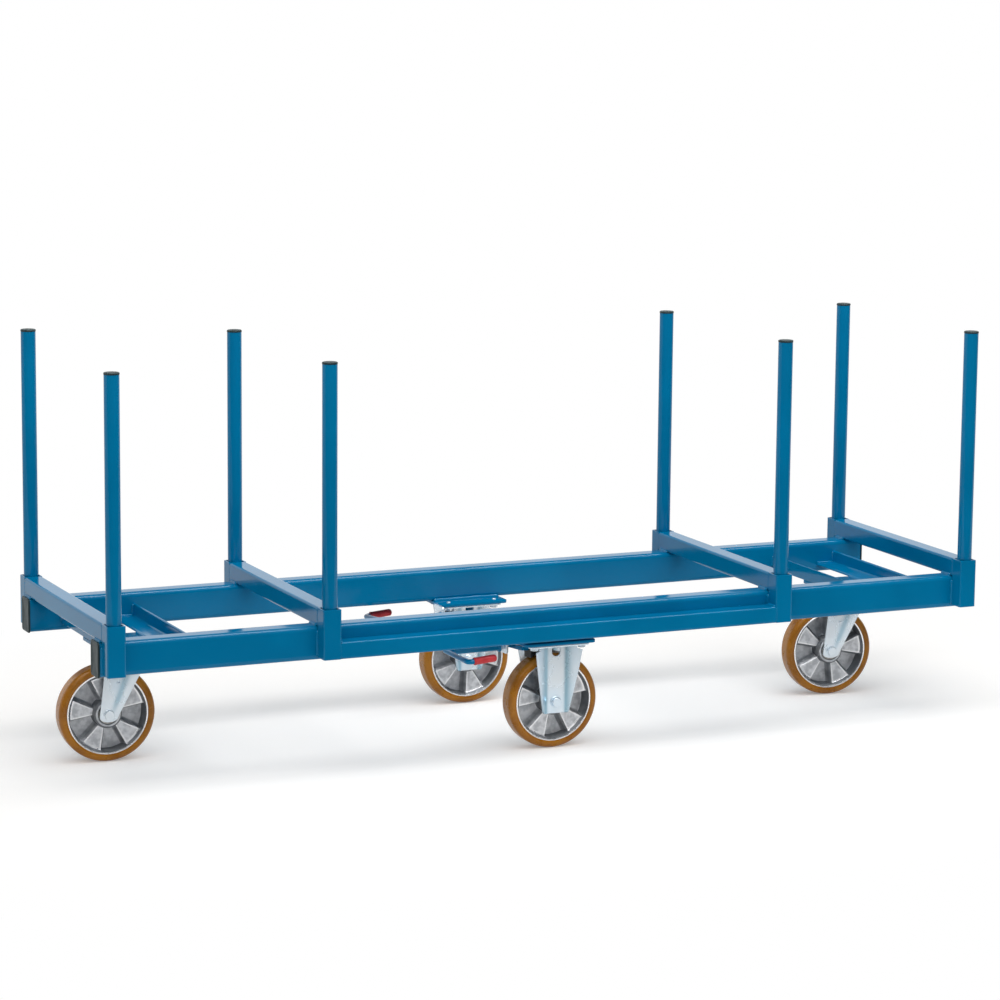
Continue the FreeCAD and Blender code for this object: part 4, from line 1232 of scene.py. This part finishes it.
def bent_path(corners, radius):
    """Points along straight runs joined by arcs: each corner becomes the quadratic curve between the
    points a radius before and after it; the two ends stay where they are."""
    reach = np.full(len(corners), radius)
    reach[[0, -1]] = 0
    rounded = eased(corners, reach, 8).reshape(len(corners), 9, 3)
    return np.concatenate([rounded[0, :1], rounded[1:-1].reshape(-1, 3), rounded[-1, :1]])


def swept(path, radius, columns=24):
    """A round bar along a path: at each point a circle across the path's direction, closed at the ends."""
    direction = np.gradient(path, axis=0)
    direction /= np.linalg.norm(direction, axis=1, keepdims=True)
    sideways = np.cross(direction, [0, 0, 1.0])
    sideways /= np.linalg.norm(sideways, axis=1, keepdims=True)
    upward = np.cross(sideways, direction)
    circle = on_circle(full_turn(columns)) @ np.stack([sideways, upward], axis=1)
    first = np.broadcast_to(path[0], (1, columns, 3))
    last = np.broadcast_to(path[-1], (1, columns, 3))
    return np.concatenate([first, path[:, None] + radius * circle, last])


def about_shaft(points, turn):
    """Turn near side points about the brake shaft; a positive turn presses the brake."""
    cos, sin = math.cos(turn), math.sin(turn)
    shaft = np.array([0, -shaft_y, shaft_z])
    return (points - shaft) @ np.array([[1, 0, 0], [0, cos, sin], [0, -sin, cos]]) + shaft


def shoe_arm():
    """The near arm as pressed: an L in plan, from the shaft past the fork and then over the wheel."""
    outer, inner, hub = fixed_y - arm_half, fixed_y + arm_half, -shaft_y + arm_hub
    corners = [(arm_left, outer), (arm_tip, outer), (arm_tip, inner), (arm_right, inner),
               (arm_right, hub), (arm_left, hub)]
    inside = np.array([(arm_left + arm_right) / 2, fixed_y])
    return prism(eased(corners, arm_corner), inside, arm_low, arm_high)


red_plastic = (moulded_plastic("red_grip_plastic", red_deep, red_light, 0.22, 900.0), "red_plastic")
elbow = np.array([crank_x, -shaft_y, shaft_z])
knee = elbow + [0, -crank_arm, 0]
tip = knee + [crank_bend + grip_length - nose_long, 0, grip_rise]
along = (tip - knee) / np.linalg.norm(tip - knee)
corners = np.array([(shaft_end, -shaft_y, shaft_z), elbow, knee, tip])
crank = swept(bent_path(corners, crank_bend), crank_radius)
arm = about_shaft(shoe_arm(), -brake_turn)
quarter = on_circle(np.radians(np.linspace(0, 90, 8)))
nose = [nose_flat, grip_length - nose_long] + [grip_radius - nose_flat, nose_long] * quarter
sleeve = [(0, 0), (crank_radius + 0.0002, 0), (grip_radius - 0.0004, 0), (grip_rib, 0.0008),
          (grip_rib, 0.0035), (grip_radius, 0.0055), (grip_radius, 0.02), (grip_radius, 0.04), *nose,
          (0, grip_length)]
upward = np.cross(along, [0, 1.0, 0])
grip = turned(sleeve, 48) @ np.array([np.cross(upward, along), upward, along])
grip = grip + knee + along * (crank_bend + grip_start)
for side, turn, mirror in (("near", 0.0, [1, 1, 1]), ("far", brake_turn, [1, -1, 1])):
    body = f"{side}_brake"
    shapes = [about_shaft(shape, turn) * mirror for shape in (crank, arm)]
    piece(f"{side}_crank_bar", shapes, blue_paint, body, [f"{side}_brake_crank"])
    sleeve = about_shaft(grip, turn) * mirror
    piece(f"{side}_crank_sleeve", [sleeve], red_plastic, body, [f"{side}_brake_grip"])


# Brake shoes: a black moulded block that straddles each arm, its under face hollowed to follow the tread.
# The shape comes from the frame; the moulding skin is added here.
shoe_dark = (0.012, 0.012, 0.013, 1)
shoe_light = (0.024, 0.024, 0.025, 1)
black_plastic = moulded_plastic("black_shoe_plastic", shoe_dark, shoe_light, 0.45, 1800.0)
for side in sides:
    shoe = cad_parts[f"{side}_brake_shoe"]
    shoe.data.materials.clear()
    shoe.data.materials.append(black_plastic)


# Studio: a white floor under soft light from above and in front. Seen directly or in a reflection the floor
# fades to plain white away from the cart. Reflections also see a light wall behind the cart, a dark room
# behind the camera and a bright strip overhead.
floor_half = 60.0
floor_colour = (0.872, 0.86, 0.842, 1)
black = (0, 0, 0, 1)
floor_glow = 0.23
fade_shape = (1.0, 1.5, 1.0)
fade_start = 1.4
fade_end = 2.7
unlit_start = -1.3
unlit_end = -1.65
fill_level = 0.44
seen_level = 1.25
wall_level = 1.4
wall_fade = 1.2
wall_side = (-0.15, 0.15)
wall_top = (0.45, 0.62)
room_level = 0.12
strip_level = 13.0
strip_low = (0.80, 0.86)
strip_side = (-0.12, 0.02)
key_power = 1.2
key_spread = 70.0
key_tilt = (34, -10, 0)
softbox_power = 52.0
softbox_long = 4.6
softbox_wide = 1.8
softbox_place = (0.3, -0.5, 3.3)
softbox_tilt = (9, 0, 0)

grid = floor_half * np.array([(-1, -1, 0), (1, -1, 0), (1, 1, 0), (-1, 1, 0)])
mesh = bpy.data.meshes.new("studio_floor")
mesh.from_pydata(grid.tolist(), [], [(0, 1, 2, 3)])
floor_finish, place = new_finish("studio_floor")
mirror = place.ray("Glossy").either(place.ray("Transmission"))
seen = place.ray("Camera").either(mirror)
away = place.node("ShaderNodeVectorMath", {"operation": "LENGTH"}, {0: place.stretch(fade_shape)}, "Value")
away = away.step(fade_start, fade_end)
unlit = mirror * (1 - place.part("Y").step(unlit_end, unlit_start))
glow = seen * (1 - unlit) * (floor_glow + (1 - floor_glow) * away)
colour = unlit.either(seen * away).mix(floor_colour, black)
matt = place.node("ShaderNodeBsdfDiffuse", {}, {"Color": colour})
light = place.node("ShaderNodeEmission", {}, {"Strength": glow})
both = place.node("ShaderNodeAddShader", {}, {0: matt, 1: light})
place.node("ShaderNodeOutputMaterial", {}, {"Surface": both})
mesh.materials.append(floor_finish)
floor = add("studio_floor", mesh)

surround = bpy.data.worlds.new("studio_surround")
surround.use_nodes = True
surround.node_tree.nodes.clear()
direction = Wire(surround.node_tree).node("ShaderNodeTexCoord", {}, {}, "Generated")
mirror = direction.ray("Glossy").either(direction.ray("Transmission"))
height = direction.part("Z")
across = direction.part("Y")
behind = across.step(*wall_side)
wall = wall_level - wall_fade * height.step(*wall_top)
overhead = height.step(*strip_low) * (1 - across.step(*strip_side))
sky = behind * wall + (1 - behind) * room_level + strip_level * overhead
camera_ray = direction.ray("Camera")
level = seen_level * camera_ray + (1 - camera_ray) * (mirror * sky + (1 - mirror) * fill_level)
back = direction.node("ShaderNodeBackground", {}, {"Strength": level})
direction.node("ShaderNodeOutputWorld", {}, {"Surface": back})
bpy.context.scene.world = surround

key = add("key_light", bpy.data.lights.new("key_light", "SUN"))
key.data.energy = key_power
key.data.angle = math.radians(key_spread)
key.rotation_euler = np.radians(key_tilt)
softbox = add("softbox", bpy.data.lights.new("softbox", "AREA"))
softbox.data.shape = "RECTANGLE"
softbox.data.size = softbox_long
softbox.data.size_y = softbox_wide
softbox.data.energy = softbox_power
softbox.location = softbox_place
softbox.rotation_euler = np.radians(softbox_tilt)
softbox.visible_camera = False


# Camera: a long lens in front and to the left, higher than the stakes' tops, turned towards the cart
# and tipped down a little.
camera_place = (-3.9987, -8.8772, 2.2830)
camera_yaw = math.radians(24.137)
camera_pitch = math.radians(9.647)
camera_roll = math.radians(0.525)
camera_lens = 129.17
camera_sensor = 36.0
camera = add("camera", bpy.data.cameras.new("camera"))
camera.data.lens = camera_lens
camera.data.sensor_width = camera_sensor
aim = Matrix.Rotation(-camera_yaw, 4, "Z") @ Matrix.Rotation(math.pi / 2 - camera_pitch, 4, "X")
camera.matrix_world = Matrix.Translation(camera_place) @ aim @ Matrix.Rotation(camera_roll, 4, "Z")
bpy.context.scene.camera = camera
bpy.context.scene.view_settings.view_transform = "Standard"
